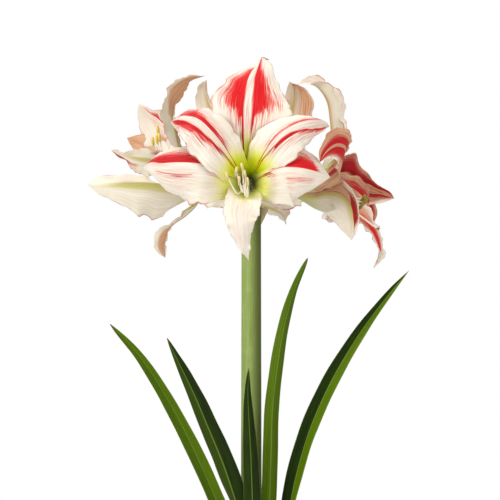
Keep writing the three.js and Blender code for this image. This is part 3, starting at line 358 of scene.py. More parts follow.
def curve_points(points, steps):
  """Evenly spaced points on a centripetal Catmull-Rom curve through the given ones."""
  p = np.asarray(points, float)
  p = np.vstack([2 * p[0] - p[1], p, 2 * p[-1] - p[-2]])
  t = np.linspace(0, 1, 24, endpoint=False)[:, None]
  dense = []
  for four in zip(p, p[1:], p[2:], p[3:]):
    knots = np.cumsum([0, *(math.sqrt(np.linalg.norm(b - a)) for a, b in zip(four, four[1:]))])
    k = knots[1] + t * (knots[2] - knots[1])
    for lows, highs in (([0, 1, 2], [1, 2, 3]), ([0, 1], [2, 3]), ([1], [2])):
      spans = zip(four, four[1:], knots[lows], knots[highs])
      four = [a + (b - a) * (k - low) / (high - low) for a, b, low, high in spans]
    dense.append(four[0])
  dense = np.vstack([*dense, p[-2:-1]])
  length = np.r_[0, np.cumsum(np.linalg.norm(np.diff(dense, axis=0), axis=1))]
  want = np.linspace(0, length[-1], steps + 1)
  return np.stack([np.interp(want, length, dense[:, k]) for k in range(3)], 1)


def carried_frames(points, first_side):
  """Side and face directions carried along a curve without needless twist."""
  tangents = unit(np.gradient(points, axis=0))
  side = np.asarray(first_side, float)
  sides = []
  for tangent in tangents:
    side = unit(side - tangent * (side @ tangent))
    sides.append(side)
  sides = np.array(sides)
  return sides, np.cross(sides, tangents)


def turned_frames(sides, faces, degrees):
  turn = np.radians(degrees)
  return sides * np.cos(turn) + faces * np.sin(turn), faces * np.cos(turn) - sides * np.sin(turn)


def blade_grid(steps, strips):
  """u along a blade and v across it, from -1 to 1."""
  return np.linspace(0, 1, steps + 1)[:, None], np.linspace(-1, 1, strips + 1)[None]


def sheet(centres, sides, faces, across, out):
  """A grid of points that lie so far to the side and out of the face of a line's points."""
  return centres[:, None] + sides[:, None] * across[..., None] + faces[:, None] * out[..., None]


# Meshes

class Shape:
  """Points and faces gathered for one mesh, with named numbers on every point."""

  def __init__(self, **widths):
    self.points, self.faces, self.slots = [], [], []
    self.widths = widths
    self.numbers = {name: [] for name in widths}
    self.count = 0

  def add(self, points, faces, slot=0, **numbers):
    self.points.append(points)
    self.faces.extend([tuple(i + self.count for i in face) for face in faces])
    self.slots.extend([slot] * len(faces))
    for name, width in self.widths.items():
      self.numbers[name].append(np.broadcast_to(numbers.get(name, 0.0), (len(points), width)))
    self.count += len(points)

  def make(self, name, materials, node=None, slot=None):
    mesh = bpy.data.meshes.new(name)
    mesh.from_pydata((np.vstack(self.points) * MM).tolist(), [], self.faces)
    for material in materials:
      mesh.materials.append(material)
    mesh.polygons.foreach_set("material_index", self.slots)
    mesh.polygons.foreach_set("use_smooth", [True] * len(self.faces))
    for key, width in self.widths.items():
      kind, field = ("FLOAT_VECTOR", "vector") if width == 3 else ("FLOAT", "value")
      layer = mesh.attributes.new(key, kind, "POINT")
      layer.data.foreach_set(field, np.vstack(self.numbers[key]).astype(np.float32).ravel())
    mesh.update()
    piece = bpy.data.objects.new(name, mesh)
    SCENE.collection.objects.link(piece)
    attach(piece, "root")
    if node:
      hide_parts(node)
    return piece


def grid_faces(rows, columns, start=0, flip=False, closed=False):
  """Quads over a grid of points. A closed grid joins its last column to its first."""
  index = start + np.arange(rows * columns).reshape(rows, columns)
  after = np.roll(index, -1, 1)
  quads = np.stack([index[:-1], after[:-1], after[1:], index[1:]], -1)
  quads = quads if closed else quads[:, :-1]
  return (quads[..., ::-1] if flip else quads).reshape(-1, 4).tolist()


def add_blade(shape, grid, thickness, **numbers):
  """A thin closed blade on a grid of points. "upper" is 1 on its inner face."""
  rows, columns = grid.shape[:2]
  size = rows * columns
  normal = unit(np.cross(np.gradient(grid, axis=1), np.gradient(grid, axis=0)))
  offset = normal * (np.broadcast_to(thickness, (rows, columns)) / 2)[..., None]
  points = np.concatenate([(grid + offset).reshape(-1, 3), (grid - offset).reshape(-1, 3)])
  faces = grid_faces(rows, columns) + grid_faces(rows, columns, size, flip=True)
  index = np.arange(size).reshape(rows, columns)
  rim = [*index[0], *index[1:, -1], *index[-1, -2::-1], *index[-2:0:-1, 0]]
  faces += [(int(a), int(a) + size, int(b) + size, int(b)) for a, b in zip(rim, rim[1:] + rim[:1])]
  both = {key: np.concatenate([np.reshape(value, (size, -1))] * 2) for key, value in numbers.items()}
  upper = np.r_[np.ones(size), np.zeros(size)][:, None]
  shape.add(points, faces, upper=upper, **both)


def add_closed(shape, rings, foot, head, number=0.0, slot=0, **numbers):
  """Rings of points with a fan to a point at each end."""
  rows, sides = rings.shape[:2]
  points = np.concatenate([rings.reshape(-1, 3), [foot, head]])
  faces = grid_faces(rows, sides, closed=True)
  size = rows * sides
  for k in range(sides):
    after = (k + 1) % sides
    faces.append((size, after, k))
    faces.append((size + 1, size - sides + k, size - sides + after))
  u = np.repeat(np.linspace(0, 1, rows), sides)
  v = np.tile(np.arange(sides) / sides, rows)
  shape.add(points, faces, slot, grow=stacked(np.r_[u, 0, 1], np.r_[v, 0, 0], number), **numbers)


def add_tube(shape, centres, radii, sides, first_side=(1, 0, 0), lobes=1.0, **numbers):
  """A closed tube along a row of points. "lobes" scales the radius by ring and angle."""
  centres = np.asarray(centres, float)
  across, face = carried_frames(centres, first_side)
  angle = turn_angles(sides)
  radius = np.asarray(radii, float)[:, None] * lobes * np.ones(sides)
  rings = sheet(centres, across, face, radius * np.cos(angle), -radius * np.sin(angle))
  add_closed(shape, rings, centres[0], centres[-1], **numbers)


def add_turned(shape, profile, sides, wobble=None):
  """A body turned about Z from [radius, height] pairs, its first and last on the axis."""
  profile = np.asarray(profile, float)
  radius, height = profile[1:-1, :1], profile[1:-1, 1:]
  angle = turn_angles(sides)
  if wobble:
    radius = radius * wobble(height, angle)
  add_closed(shape, polar(radius, angle, height), (0, 0, profile[0, 1]), (0, 0, profile[-1, 1]))


# Materials

def linear(*rgb):
  """A colour read in 0 to 255, as the renderer wants it."""
  out = [c / 255 / 12.92 if c / 255 <= 0.04045 else ((c / 255 + 0.055) / 1.055) ** 2.4 for c in rgb]
  return (*out, 1.0)


class Signal:
  """A value in a material, which plain sums can be written with."""

  def __init__(self, graph, socket):
    self.graph = graph
    self.socket = socket

  def __add__(self, other):
    return self.graph.math("ADD", self, other)

  def __sub__(self, other):
    return self.graph.math("SUBTRACT", self, other)

  def __rsub__(self, other):
    return self.graph.math("SUBTRACT", other, self)

  def __mul__(self, other):
    return self.graph.math("MULTIPLY", self, other)


class Graph:
  """A material's nodes, made by short calls."""

  def __init__(self, name):
    self.material = bpy.data.materials.new(name)
    self.material.use_nodes = True
    self.tree = self.material.node_tree
    self.shader = self.tree.nodes["Principled BSDF"]

  def put(self, socket, value):
    if isinstance(value, Signal):
      self.tree.links.new(value.socket, socket)
    elif value is not None:
      socket.default_value = value

  def node(self, kind, inputs=None, output=0, **settings):
    """A node with values or links by the name or number of each input."""
    made = self.tree.nodes.new(kind)
    for key, value in settings.items():
      setattr(made, key, value)
    for key, value in (inputs or {}).items():
      self.put(made.inputs[key], value)
    return Signal(self, made.outputs[output])

  def math(self, operation, a, b=None):
    return self.node("ShaderNodeMath", {0: a, 1: b}, operation=operation)

  def ease(self, x, low, high, out_low=0.0, out_high=1.0):
    inputs = dict(enumerate((x, low, high, out_low, out_high)))
    return self.node("ShaderNodeMapRange", inputs, interpolation_type="SMOOTHSTEP")

  def mix(self, factor, a, b):
    """A mix of two colours, each linked or given in 0 to 255."""
    a, b = (linear(*c) if isinstance(c, tuple) else c for c in (a, b))
    return self.node("ShaderNodeMix", {0: factor, 6: a, 7: b}, 2, data_type="RGBA")

  def over(self, a, b, x, low, high, least=0, most=1):
    """One colour that gives way to another as x runs from low to high."""
    return self.mix(self.ease(x, low, high, least, most), a, b)

  def number(self, name):
    """A point's own number."""
    return self.node("ShaderNodeAttribute", output="Fac", attribute_name=name)

  def split(self, vector):
    first = self.node("ShaderNodeSeparateXYZ", {0: vector})
    return [Signal(self, socket) for socket in first.socket.node.outputs]

  def numbers(self, name):
    """A point's own three numbers."""
    return self.split(self.node("ShaderNodeAttribute", output="Vector", attribute_name=name))

  def place(self):
    return self.node("ShaderNodeTexCoord", output="Object")

  def noise(self, vector, scale, detail=3.0, roughness=0.55):
    inputs = {"Vector": vector, "Scale": scale, "Detail": detail, "Roughness": roughness}
    return self.node("ShaderNodeTexNoise", inputs, "Fac")

  def streaks(self, x, y, z, detail=2.0):
    """Noise drawn out by however far apart its three numbers run."""
    return self.noise(self.node("ShaderNodeCombineXYZ", {0: x, 1: y, 2: z}), 1.0, detail)

  def finish(self, colour, roughness, bump=None, **sockets):
    """The material, with bump as (height, strength, distance)."""
    if bump:
      inputs = dict(zip(("Height", "Strength", "Distance"), bump))
      self.put(self.shader.inputs["Normal"], self.node("ShaderNodeBump", inputs))
    self.put(self.shader.inputs["Base Color"], colour)
    self.put(self.shader.inputs["Roughness"], roughness)
    for name, value in sockets.items():
      self.shader.inputs[name.replace("_", " ")].default_value = value
    return self.material


def petal_material():
  """White petals with a green throat and feathered red bands, drawn from where a point grew."""
  g = Graph("petal")
  u, v, number = g.numbers("grow")
  band_in, band_out, strength = g.numbers("band")
  dark, ghost, dry = g.numbers("tone")
  fade_and_shade, green, rim = g.numbers("wash")
  a = g.math("ABSOLUTE", v)
  seat = number * 7.3

  def streak(along_scale, across_scale, shift, detail=2):
    return g.ease(g.streaks(u * along_scale, v * across_scale, seat + shift, detail), 0.3, 0.7)

  fine = streak(4.5, 30, 0)
  broad = streak(3, 9, 3.1)
  hair = streak(6, 62, 8.7, 1)

  # the bands, sharp beside the midrib and frayed along the veins outside
  fray = (fine - 0.5) * 0.16
  reach = band_out - (a + fray)
  inside = g.ease(a - band_in, -0.012, 0.02)
  outside = g.ease(reach, -0.03, 0.03)
  breadth = g.math("MAXIMUM", band_out - band_in, 0.06)
  depth = g.ease(g.math("DIVIDE", reach, breadth), -0.1, 0.95)
  full = strength * 1.45 * (depth + 0.28)
  fed = g.ease(full - hair * 1.1, -0.05, 0.35) * g.ease(strength, 0, 0.3)
  band = inside * outside * fed

  # fine pink veins beyond the bands, and a reddish margin
  beyond = g.ease(band_out + 0.45 - a, 0, 0.5) * g.ease(a - band_in, -0.1, 0.05, 0.4, 1)
  veins = g.ease(hair, 0.42, 0.85) * (beyond * g.ease(u, 0.34, 0.5)) * (strength * 1.1)
  edge = g.ease(a, 0.94, 0.985) * g.ease(streak(9, 2, 5.5), 0.2, 0.8)
  edge = edge * (g.ease(u, 0.25, 0.45) * rim)

  # the inner face: white, with the throat's green running out along the midrib
  white = g.mix(broad, (250, 244, 234), (241, 230, 212))
  white = g.mix(hair * 0.5, white, (226, 206, 188))
  fade = u + (fine - 0.5) * 0.07 + (a - 0.2) * 0.08
  glow = g.over((196, 210, 2), (246, 242, 70), fade, 0.18, 0.42)
  glow = g.over((110, 134, 0), glow, fade, 0.05, 0.22)
  colour = g.mix(g.ease(fade, 0.45, 0.28) * green, white, glow)
  colour = g.mix(veins, colour, (222, 96, 84))
  bright = g.mix(dark, (240, 20, 28), (168, 6, 18))
  deep = g.mix(dark, (176, 8, 22), (112, 6, 18))
  near = g.math("MAXIMUM", g.ease(u, 0.56, 0.4), hair * 0.6)
  inner = g.mix(band, colour, g.mix(near, bright, deep))
  inner = g.mix(edge, inner, (196, 84, 70))

  # the back: cream, a green midrib and foot, and as much of the band as shows through
  pale = g.mix(fine, (244, 236, 222), (230, 218, 196))
  rib = g.ease(a + u * 0.05, 0.34, 0.06) * g.ease(u, 0.98, 0.7)
  back = g.mix(rib * 0.85, pale, (190, 182, 66))
  back = g.mix(g.ease(u, 0.34, 0.04) * 0.85, back, (178, 176, 84))
  shown = g.over((214, 146, 126), g.mix(hair, (186, 26, 36), deep), ghost, 0.5, 1)
  back = g.mix(band * ghost, back, shown)
  back = g.mix(edge, back, (206, 110, 94))
  colour = g.mix(g.number("upper"), back, inner)

  # a brown-pink wash, partly a fading petal's colour and partly painted shade on tepals in shadow, and
  # drying
  wash = g.mix(hair, (238, 186, 150), (206, 138, 104))
  wash = g.mix(broad * 0.4, wash, (220, 194, 150))
  wash = g.mix(dark * 0.7, wash, (206, 174, 136))
  wash = g.mix(g.ease(hair, 0.42, 0.7) * (dark * 0.95), wash, (150, 40, 40))
  fade_and_shade_mask = g.ease(fade_and_shade * 1.3 - a * 0.9, 0, 0.3) * g.ease(fade_and_shade, 0, 0.5)
  colour = g.mix(fade_and_shade_mask * (1 - band), colour, wash)
  colour = g.mix(dry, colour, g.mix(fine, (172, 148, 102), (124, 98, 60)))

  relief = streak(2.5, 26, 2.2) + hair * 0.5 + g.ease(a, 0.07, 0) * -1.4
  return g.finish(colour, g.ease(hair, 0, 1, 0.42, 0.55), (relief, 0.28, 0.0006),
                  Subsurface_Weight=0.08, Subsurface_Scale=0.004, Specular_IOR_Level=0.25)


def leaf_material():
  """Waxy green with fine lines along it, its two halves painted lighter and darker by a number on each
  point, as painted light and shade.
  """
  g = Graph("leaf_green")
  u, v, number = g.numbers("grow")
  seat = number * 5.1
  lines = g.streaks(u * 6, v * 26, seat)
  patches = g.streaks(u * 9, v * 3, seat, 3)
  # painted light and shade: the green of a lit half and the dark green of a shaded half, mixed by each
  # point's number
  light = g.over((72, 98, 2), (98, 128, 8), lines, 0.3, 0.7)
  deep = g.over((6, 22, 0), (16, 38, 1), lines, 0.3, 0.7)
  colour = g.mix(g.number("tint"), deep, light)
  colour = g.over(colour, g.mix(0.5, deep, light), patches, 0.35, 0.75, 0, 0.16)
  a = g.math("ABSOLUTE", v)
  colour = g.over(colour, (140, 166, 74), a, 0.08, 0.01, 0, 0.4)
  # painted highlight: both edges of the leaf made paler
  colour = g.over(colour, (132, 156, 70), a, 0.93, 1, 0, 0.5)
  colour = g.mix((1 - g.number("upper")) * 0.03, colour, (128, 150, 70))
  colour = g.over(colour, (140, 160, 70), u, 0.16, 0.04)
  colour = g.over(colour, (120, 92, 48), u, 0.975, 1)
  return g.finish(colour, g.ease(patches, 0.3, 0.7, 0.45, 0.6), (lines + patches * 0.4, 0.4, 0.0006),
                  Subsurface_Weight=0.02, Subsurface_Scale=0.003, Specular_IOR_Level=0.08)


def stalk_material():
  """Grey-green, with fine lines along it and painted shade that darkens it towards its right."""
  g = Graph("stalk_green")
  place = g.place()
  x, y, z = g.split(place)
  lines = g.streaks(x * 900, y * 900, z * 14)
  bloom = g.noise(place, 55, 4, 0.6)
  colour = g.over((132, 152, 74), (148, 168, 92), lines, 0.3, 0.7)
  colour = g.over(colour, (164, 178, 118), bloom, 0.45, 0.75, 0, 0.4)
  # painted shade: the side whose normal points to +X, away from the key light, is darkened
  shaded_side = g.split(g.node("ShaderNodeNewGeometry", output="Normal"))[0]
  colour = g.over(colour, (84, 96, 34), shaded_side, -0.5, 0.9)
  colour = g.over(colour, (176, 178, 120), z, 0.24, 0.17)
  return g.finish(colour, g.ease(bloom, 0.3, 0.7, 0.42, 0.58), (lines + bloom * 0.5, 0.3, 0.0006),
                  Subsurface_Weight=0.06, Subsurface_Scale=0.004, Specular_IOR_Level=0.3)


def stamen_material(name, foot, head, grains):
  """Filaments, anthers and styles, from one end's colour to the other's. Number -1 is green."""
  g = Graph(name)
  u, _, number = g.numbers("grow")
  grain = g.noise(g.place(), 900, 2)
  colour = g.over(foot, head, u, 0.15, 0.7)
  colour = g.over(colour, (104, 122, 16), number, 0, -1)
  colour = g.over(colour, grains, grain, 0.4, 0.7, 0, 0.45)
  return g.finish(colour, 0.6, (grain, 0.35, 0.0004), Subsurface_Weight=0.08, Subsurface_Scale=0.002)


def bract_material():
  g = Graph("dry_bract")
  u, v, _ = g.numbers("grow")
  lines = g.streaks(u * 3, v * 30, 0, 3)
  colour = g.over((176, 150, 106), (214, 196, 150), lines, 0.3, 0.7)
  colour = g.over(colour, (142, 104, 62), u, 0.6, 1)
  return g.finish(colour, 0.72, (lines, 0.6, 0.0008), Subsurface_Weight=0.05, Subsurface_Scale=0.002)


def clay_material():
  """Unglazed clay with turning lines, grain and a bloom of lime near its foot."""
  g = Graph("clay")
  place = g.place()
  z = g.split(place)[2]
  cloud = g.noise(place, 14, 5, 0.6)
  grain = g.noise(place, 420, 3, 0.7)
  rings = g.streaks(0, 0, z * 320)
  colour = g.over((176, 98, 64), (200, 122, 84), cloud, 0.35, 0.7)
  colour = g.over(colour, (150, 80, 52), grain, 0.45, 0.75, 0, 0.35)
  lime = g.ease(cloud, 0.52, 0.7) * g.ease(z, 0.13, 0.02, 0.15, 0.55)
  colour = g.mix(lime, colour, (218, 178, 150))
  return g.finish(colour, g.ease(grain, 0.3, 0.7, 0.78, 0.92), (rings * 0.7 + grain * 0.5, 0.4, 0.0007),
                  Specular_IOR_Level=0.3)


def soil_material():
  g = Graph("soil")
  place = g.place()
  grain = g.noise(place, 260, 5, 0.7)
  colour = g.over((38, 26, 18), (86, 62, 44), grain, 0.35, 0.68)
  damp = g.ease(g.noise(place, 30), 0.45, 0.65, 0, 0.6)
  colour = g.mix(damp, colour, (30, 21, 15))
  return g.finish(colour, 0.95, (grain, 0.9, 0.002), Specular_IOR_Level=0.2)


def crumb_material():
  """Bark and fibre crumbs, each its own shade."""
  g = Graph("soil_crumbs")
  grain = g.noise(g.place(), 500)
  colour = g.mix(g.numbers("grow")[2], (44, 30, 20), (120, 86, 58))
  colour = g.over(colour, (30, 20, 14), grain, 0.4, 0.7, 0, 0.5)
  return g.finish(colour, 0.9, (grain, 0.7, 0.001), Specular_IOR_Level=0.25)


def bulb_material():
  """Brown papery skin, paler in clouds and greenish at the neck."""
  g = Graph("bulb_skin")
  u, v, number = g.numbers("grow")
  fibres = g.streaks(u * 2.5, v * 90, number, 3)
  cloud = g.noise(g.place(), 40, 4)
  colour = g.over((104, 64, 36), (166, 112, 68), fibres, 0.32, 0.66)
  colour = g.over(colour, (190, 150, 98), cloud, 0.5, 0.72, 0, 0.7)
  colour = g.over(colour, (176, 168, 104), u, 0.86, 1, 0, 0.8)
  return g.finish(colour, g.ease(cloud, 0.3, 0.7, 0.5, 0.75), (fibres + cloud * 0.4, 0.7, 0.0012),
                  Sheen_Weight=0.05)


# Pot, soil and bulb

def rounded(profile, radius, steps):
  """The same outline with its corners rounded off."""
  points = [np.asarray(p, float) for p in profile]
  out = [points[0]]
  for before, corner, after in zip(points, points[1:], points[2:]):
    back, ahead = before - corner, after - corner
    cut = min(radius, 0.45 * np.linalg.norm(back), 0.45 * np.linalg.norm(ahead))
    start = corner + back / np.linalg.norm(back) * cut
    end = corner + ahead / np.linalg.norm(ahead) * cut
    for t in np.linspace(0, 1, steps + 1):
      out.append((1 - t) ** 2 * start + 2 * t * (1 - t) * corner + t * t * end)
  return out + [points[-1]]


def filled_in(profile, longest):
  """The same outline with long stretches split up."""
  out = [profile[0]]
  for point in profile[1:]:
    parts = max(int(np.ceil(np.linalg.norm(point - out[-1]) / longest)), 1)
    start = out[-1]
    out.extend(start + (point - start) * (k + 1) / parts for k in range(parts))
  return out


def pot_inner_radius(z):
  slope = (POT_RIM_RADIUS - 1 - POT_FOOT_RADIUS) / POT_HEIGHT
  return POT_FOOT_RADIUS - POT_WALL + slope * z


def make_pot():
  band_foot = POT_HEIGHT - POT_RIM_BAND
  band_in = pot_inner_radius(band_foot) + POT_WALL
  bevel = 5
  profile = [
    [0, 0], [POT_FOOT_RADIUS, 0], [band_in - 1, band_foot], [POT_RIM_RADIUS, band_foot],
    [POT_RIM_RADIUS, POT_HEIGHT], [POT_RIM_RADIUS - POT_WALL, POT_HEIGHT],
    [pot_inner_radius(POT_HEIGHT - bevel), POT_HEIGHT - bevel], [pot_inner_radius(POT_WALL), POT_WALL],
    [0, POT_WALL],
  ]
  shape = Shape(grow=3)
  edge_radius, longest = 2.2, 7
  add_turned(shape, filled_in(rounded(profile, edge_radius, 4), longest), POT_SIDES)
  pot = shape.make("pot_of_clay", [clay_material()], "pot", slot="clay")
  cut_drain_holes(pot)


def cut_drain_holes(pot):
  drill, sides, beyond = Shape(), 24, 5
  caps = [tuple(range(sides - 1, -1, -1)), tuple(range(sides, 2 * sides))]
  for angle in np.pi / 2 + turn_angles(DRAIN_COUNT):
    rings = [polar(DRAIN_RADIUS, turn_angles(sides), z) for z in (-beyond, POT_WALL + beyond)]
    points = np.concatenate(rings) + polar(DRAIN_RING, angle, 0)
    drill.add(points, grid_faces(2, sides, closed=True) + caps)
  cutter = drill.make("drill", [])
  cut = pot.modifiers.new("drain holes", "BOOLEAN")
  cut.object = cutter
  cut.solver = "EXACT"
  graph = bpy.context.evaluated_depsgraph_get()
  made = bpy.data.meshes.new_from_object(pot.evaluated_get(graph))
  pot.modifiers.clear()
  pot.data = made
  bpy.data.objects.remove(cutter)


def soil_height(x, y):
  coarse = np.sin(x * 0.19 + 1.3) * np.cos(y * 0.23 - 0.4)
  fine = np.sin(x * 0.41 - y * 0.33 + 2.1)
  return SOIL_LEVEL + SOIL_RELIEF * (0.6 * coarse + 0.4 * fine)


# The bulb's outline, as radius and height
BULB_OUTLINE = np.array([
  [14, BULB_FOOT], [24, BULB_FOOT + 5], [39, BULB_FOOT + 18], [BULB_RADIUS - 1, BULB_BELLY - 12],
  [BULB_RADIUS, BULB_BELLY], [BULB_RADIUS - 3, BULB_BELLY + 14], [40, BULB_BELLY + 30],
  [NECK_RADIUS + 2, BULB_BELLY + 44], [NECK_RADIUS, NECK_TOP - 6],
  [NECK_RADIUS - 1, NECK_TOP - 1.5], [NECK_RADIUS - 4, NECK_TOP],
])


def bulb_radius_at(z):
  radius, height = BULB_OUTLINE.T
  return np.interp(z, height, radius)


def make_soil():
  """A heap of soil with a crumbly top, open in the middle for the bulb."""
  rng = np.random.default_rng(11)
  angle = turn_angles(SOIL_SIDES)
  inward = np.linspace(0, 1, SOIL_RINGS)[:, None]
  rim, bulb = pot_inner_radius(SOIL_LEVEL) - GAP, bulb_radius_at(SOIL_LEVEL) + 0.2
  radius = np.linspace(rim, bulb, SOIL_RINGS)[:, None]
  x, y = radius * np.cos(angle), radius * np.sin(angle)
  lump, lumps, lump_height = np.zeros_like(x), 26, 0.16
  for _ in range(lumps):
    across, along_y, shift = *rng.uniform(-0.9, 0.9, 2), rng.uniform(0, 6.3)
    lump += np.sin(across * x + along_y * y + shift) * lump_height
  top = stacked(x, y, soil_height(x, y) + lump * ease(0, 0.12, inward))
  low = POT_WALL + GAP
  foot = polar(pot_inner_radius(POT_WALL) - 4 - GAP, angle, low)
  hollow = ((BULB_RADIUS + GAP, BULB_BELLY), (40, BULB_FOOT + 18), (15, BULB_FOOT - 1))
  rings = np.array([foot, *top, *(polar(r, angle, height) for r, height in hollow)])
  shape = Shape(grow=3)
  add_closed(shape, rings, (0, 0, low), (0, 0, BULB_FOOT - 1))
  add_crumbs(shape, rng, 900)
  shape.make("soil_heap", [soil_material(), crumb_material()], "soil", slot="soil")


def add_crumbs(shape, rng, count):
  """Small eight-sided crumbs half sunk in the soil's top."""
  corners = np.array([(-1, 0, 0), (0, -1, 0), (0, 0, -1), (0, 0, 1), (0, 1, 0), (1, 0, 0)], float)
  faces = [(a, b, c) for a in range(6) for b in range(6) for c in range(6)
           if a < b and a < c and b != c and np.linalg.det(corners[[a, b, c]]) > 0.5]
  low, high = bulb_radius_at(SOIL_LEVEL) + 3, pot_inner_radius(SOIL_LEVEL) - 3
  for _ in range(count):
    radius = math.sqrt(rng.uniform(low ** 2, high ** 2))
    x, y, _ = polar(radius, rng.uniform(0, 2 * math.pi), 0)
    size = rng.uniform(0.7, 2.2) * np.array([1, rng.uniform(0.5, 0.9), rng.uniform(0.35, 0.6)])
    turn = rng.uniform(0, 2 * math.pi)
    c, s = math.cos(turn), math.sin(turn)
    points = (corners * size * rng.uniform(0.75, 1.2, (6, 1))) @ np.array([[c, s, 0], [-s, c, 0], UP])
    points += (x, y, soil_height(x, y) + rng.uniform(-0.2, 0.5))
    shape.add(points, faces, 1, grow=(0, 0, rng.uniform()))


def make_bulb():
  """The bulb with the papery layers of its skin, torn at their tops."""
  profile = [[0, BULB_FOOT], *BULB_OUTLINE, [0, NECK_TOP]]
  smooth = curve_points([(r, 0, z) for r, z in profile], 60)[:, [0, 2]]
  smooth[[0, -1], 0] = 0

  def wobble(z, angle):
    return 1 - 0.012 + 0.008 * np.sin(3 * angle + 0.02 * z) + 0.004 * np.sin(11 * angle - 0.05 * z)

  shape = Shape(grow=3, upper=1)
  add_turned(shape, smooth, BULB_SIDES, wobble)
  for k, layer in enumerate(SKIN_LAYERS):
    add_skin(shape, k, *layer)
  shape.make("bulb_in_skin", [bulb_material()], "bulb", slot="bulb_skin")


def add_skin(shape, k, start, sweep, foot, head):
  """One layer of skin, its top torn in waves and its sides cut back."""
  t = np.linspace(0, 1, SKIN_ROWS)[:, None]
  s = np.linspace(0, 1, SKIN_COLUMNS)[None]
  tear = sum(np.sin(2 * np.pi * (pace * s + draw(k, pace))) / pace for pace in (2, 5, 9, 16))
  side = np.abs(s - 0.5) * 2
  top = head - 5 + 4.2 * tear - 16 * side ** 3
  z = foot + (top - foot) * t
  angle = np.radians(start + sweep * s + 4 * np.sin(3 * t + k))
  lift = 0.5 + 0.35 * (k % 3) + 1.6 * t ** 4 * (0.6 + 0.4 * tear) + 1.2 * side ** 6
  grid = polar(bulb_radius_at(z) + lift, angle, z)
  add_blade(shape, grid, 0.35, grow=stacked(0.3 + 0.6 * t, s * sweep / 360, 2 + k))


# Leaves, stalk and bracts

def leaf_width(u, taper):
  root = 0.92 + 0.08 * np.minimum(u / 0.3, 1)
  q = np.clip((u - 0.35) / 0.65, 0, 1)
  return root * np.maximum(1 - q ** 1.9, 0.004) ** taper


def leaf_grid(leaf, number, u, v):
  """The middle surface of a leaf, channelled along its midrib."""
  centres = curve_points(leaf["path"], LEAF_STEPS)
  plan = math.radians(leaf["plan"])
  frames = carried_frames(centres, (math.cos(plan), math.sin(plan), 0))
  sides, faces = turned_frames(*frames, along(leaf["turn"], u))
  channel = np.radians(along(leaf["channel"], u))
  reach = (leaf["width"] / 2) * leaf_width(u, leaf["taper"]) * np.abs(v)
  out = reach * np.sin(channel) * (0.45 + 0.55 * np.abs(v))
  sway = 0.35 * np.sin(2 * np.pi * (7 * u + draw(number, 1))) * np.abs(v) ** 3 * np.sign(v)
  return sheet(centres, sides, faces, np.sign(v) * reach * np.cos(channel), out + sway)


def make_leaf(name, leaf, number):
  u, v = blade_grid(LEAF_STEPS, LEAF_STRIPS)
  ridges = 1 + 0.06 * np.cos(np.pi * v * 9)
  thick = (3.3 - 1.6 * u) * (1 - 0.8 * v ** 2) * ridges * np.minimum((1 - u) / 0.05 + 0.15, 1)
  # painted light and shade: one lightness for each half of the leaf
  tint = np.where(v < 0, *LEAF_HALF_SHADES[name]) + 0 * u
  shape = Shape(grow=3, upper=1, tint=1)
  add_blade(shape, leaf_grid(leaf, number, u, v), np.maximum(thick, 0.25),
            grow=stacked(u, v, number), tint=tint)
  shape.make(name.replace("leaf", "strap_leaf"), [LEAF_MATERIAL], name, slot="leaf_green")


def make_stalk():
  middle = (STALK_FOOT + STALK_TOP) / 2 + (0, 1.5, 0)
  centres = curve_points([STALK_FOOT, middle, STALK_TOP], STALK_RINGS)
  u = np.linspace(0, 1, STALK_RINGS + 1)
  radius = STALK_RADIUS * (1.06 - 0.1 * u + 0.1 * np.maximum(u - 0.93, 0) / 0.07)
  shape = Shape(grow=3)
  add_tube(shape, centres, radius, STALK_SIDES, lobes=1 - 0.02 * np.cos(2 * turn_angles(STALK_SIDES)))
  dome = [STALK_TOP + (0, 0, height) for height in (-2, 0.5, 1.8, 2.4)]
  add_tube(shape, dome, [12.4, 11.4, 8, 2], 32)
  for flower in FLOWERS.values():
    add_pedicel(shape, flower)
  shape.make("flower_stalk", [stalk_material()], "stalk", slot="stalk_green")


def add_pedicel(shape, flower):
  """A flower's own stem, its three-lobed ovary and the green foot of its tube."""
  mouth, axis = mouth_of(flower)
  end = mouth - axis * (TUBE_DEPTH + GAP)
  outward = unit((end - STALK_TOP) * (1, 1, 0))
  path = [STALK_TOP + outward * 4.5 + (0, 0, -8), STALK_TOP + outward * 6.5 + (0, 0, 4),
          end - axis * 14, end - axis * 4, end]
  u = np.linspace(0, 1, PEDICEL_RINGS + 1)
  bulge = np.exp(-(((u - 0.76) / 0.14) ** 2))
  flare = np.clip((u - 0.8) / 0.2, 0, 1)
  radius = PEDICEL_RADIUS + (OVARY_RADIUS - PEDICEL_RADIUS) * bulge * (1 - flare)
  radius = radius + (TUBE_RADIUS - 1 - PEDICEL_RADIUS) * flare
  lobes = 1 + 0.09 * bulge[:, None] * np.cos(3 * turn_angles(PEDICEL_SIDES)) - 0.02
  add_tube(shape, curve_points(path, PEDICEL_RINGS), radius, PEDICEL_SIDES, np.cross(UP, outward), lobes)


def make_bract(name, bract, number):
  """A dry, crinkled bract that hangs from the stalk's top."""
  path = np.array(bract["path"], float)
  centres = curve_points(path + STALK_TOP, BRACT_STEPS)
  sides, faces = carried_frames(centres, np.cross(UP, unit(path[0] * (1, 1, 0))))
  u, v = blade_grid(BRACT_STEPS, BRACT_STRIPS)
  half = (bract["width"] / 2) * (0.55 + 0.9 * u) * np.maximum(1 - u ** 2.4, 0.004)
  crinkle = 0.9 * np.sin(9 * u + 5 * v + number) * np.abs(v) ** 2 * u + 0.25 * np.cos(14 * v)
  out = -0.3 * half * v ** 2 + crinkle * ease(0, 0.3, u)
  shape = Shape(grow=3, upper=1)
  add_blade(shape, sheet(centres, sides, faces, v * half, out), 0.4, grow=stacked(u, v, number))
  shape.make("dry_" + name, [bract_material()], name, slot="dry_bract")


# Flowers

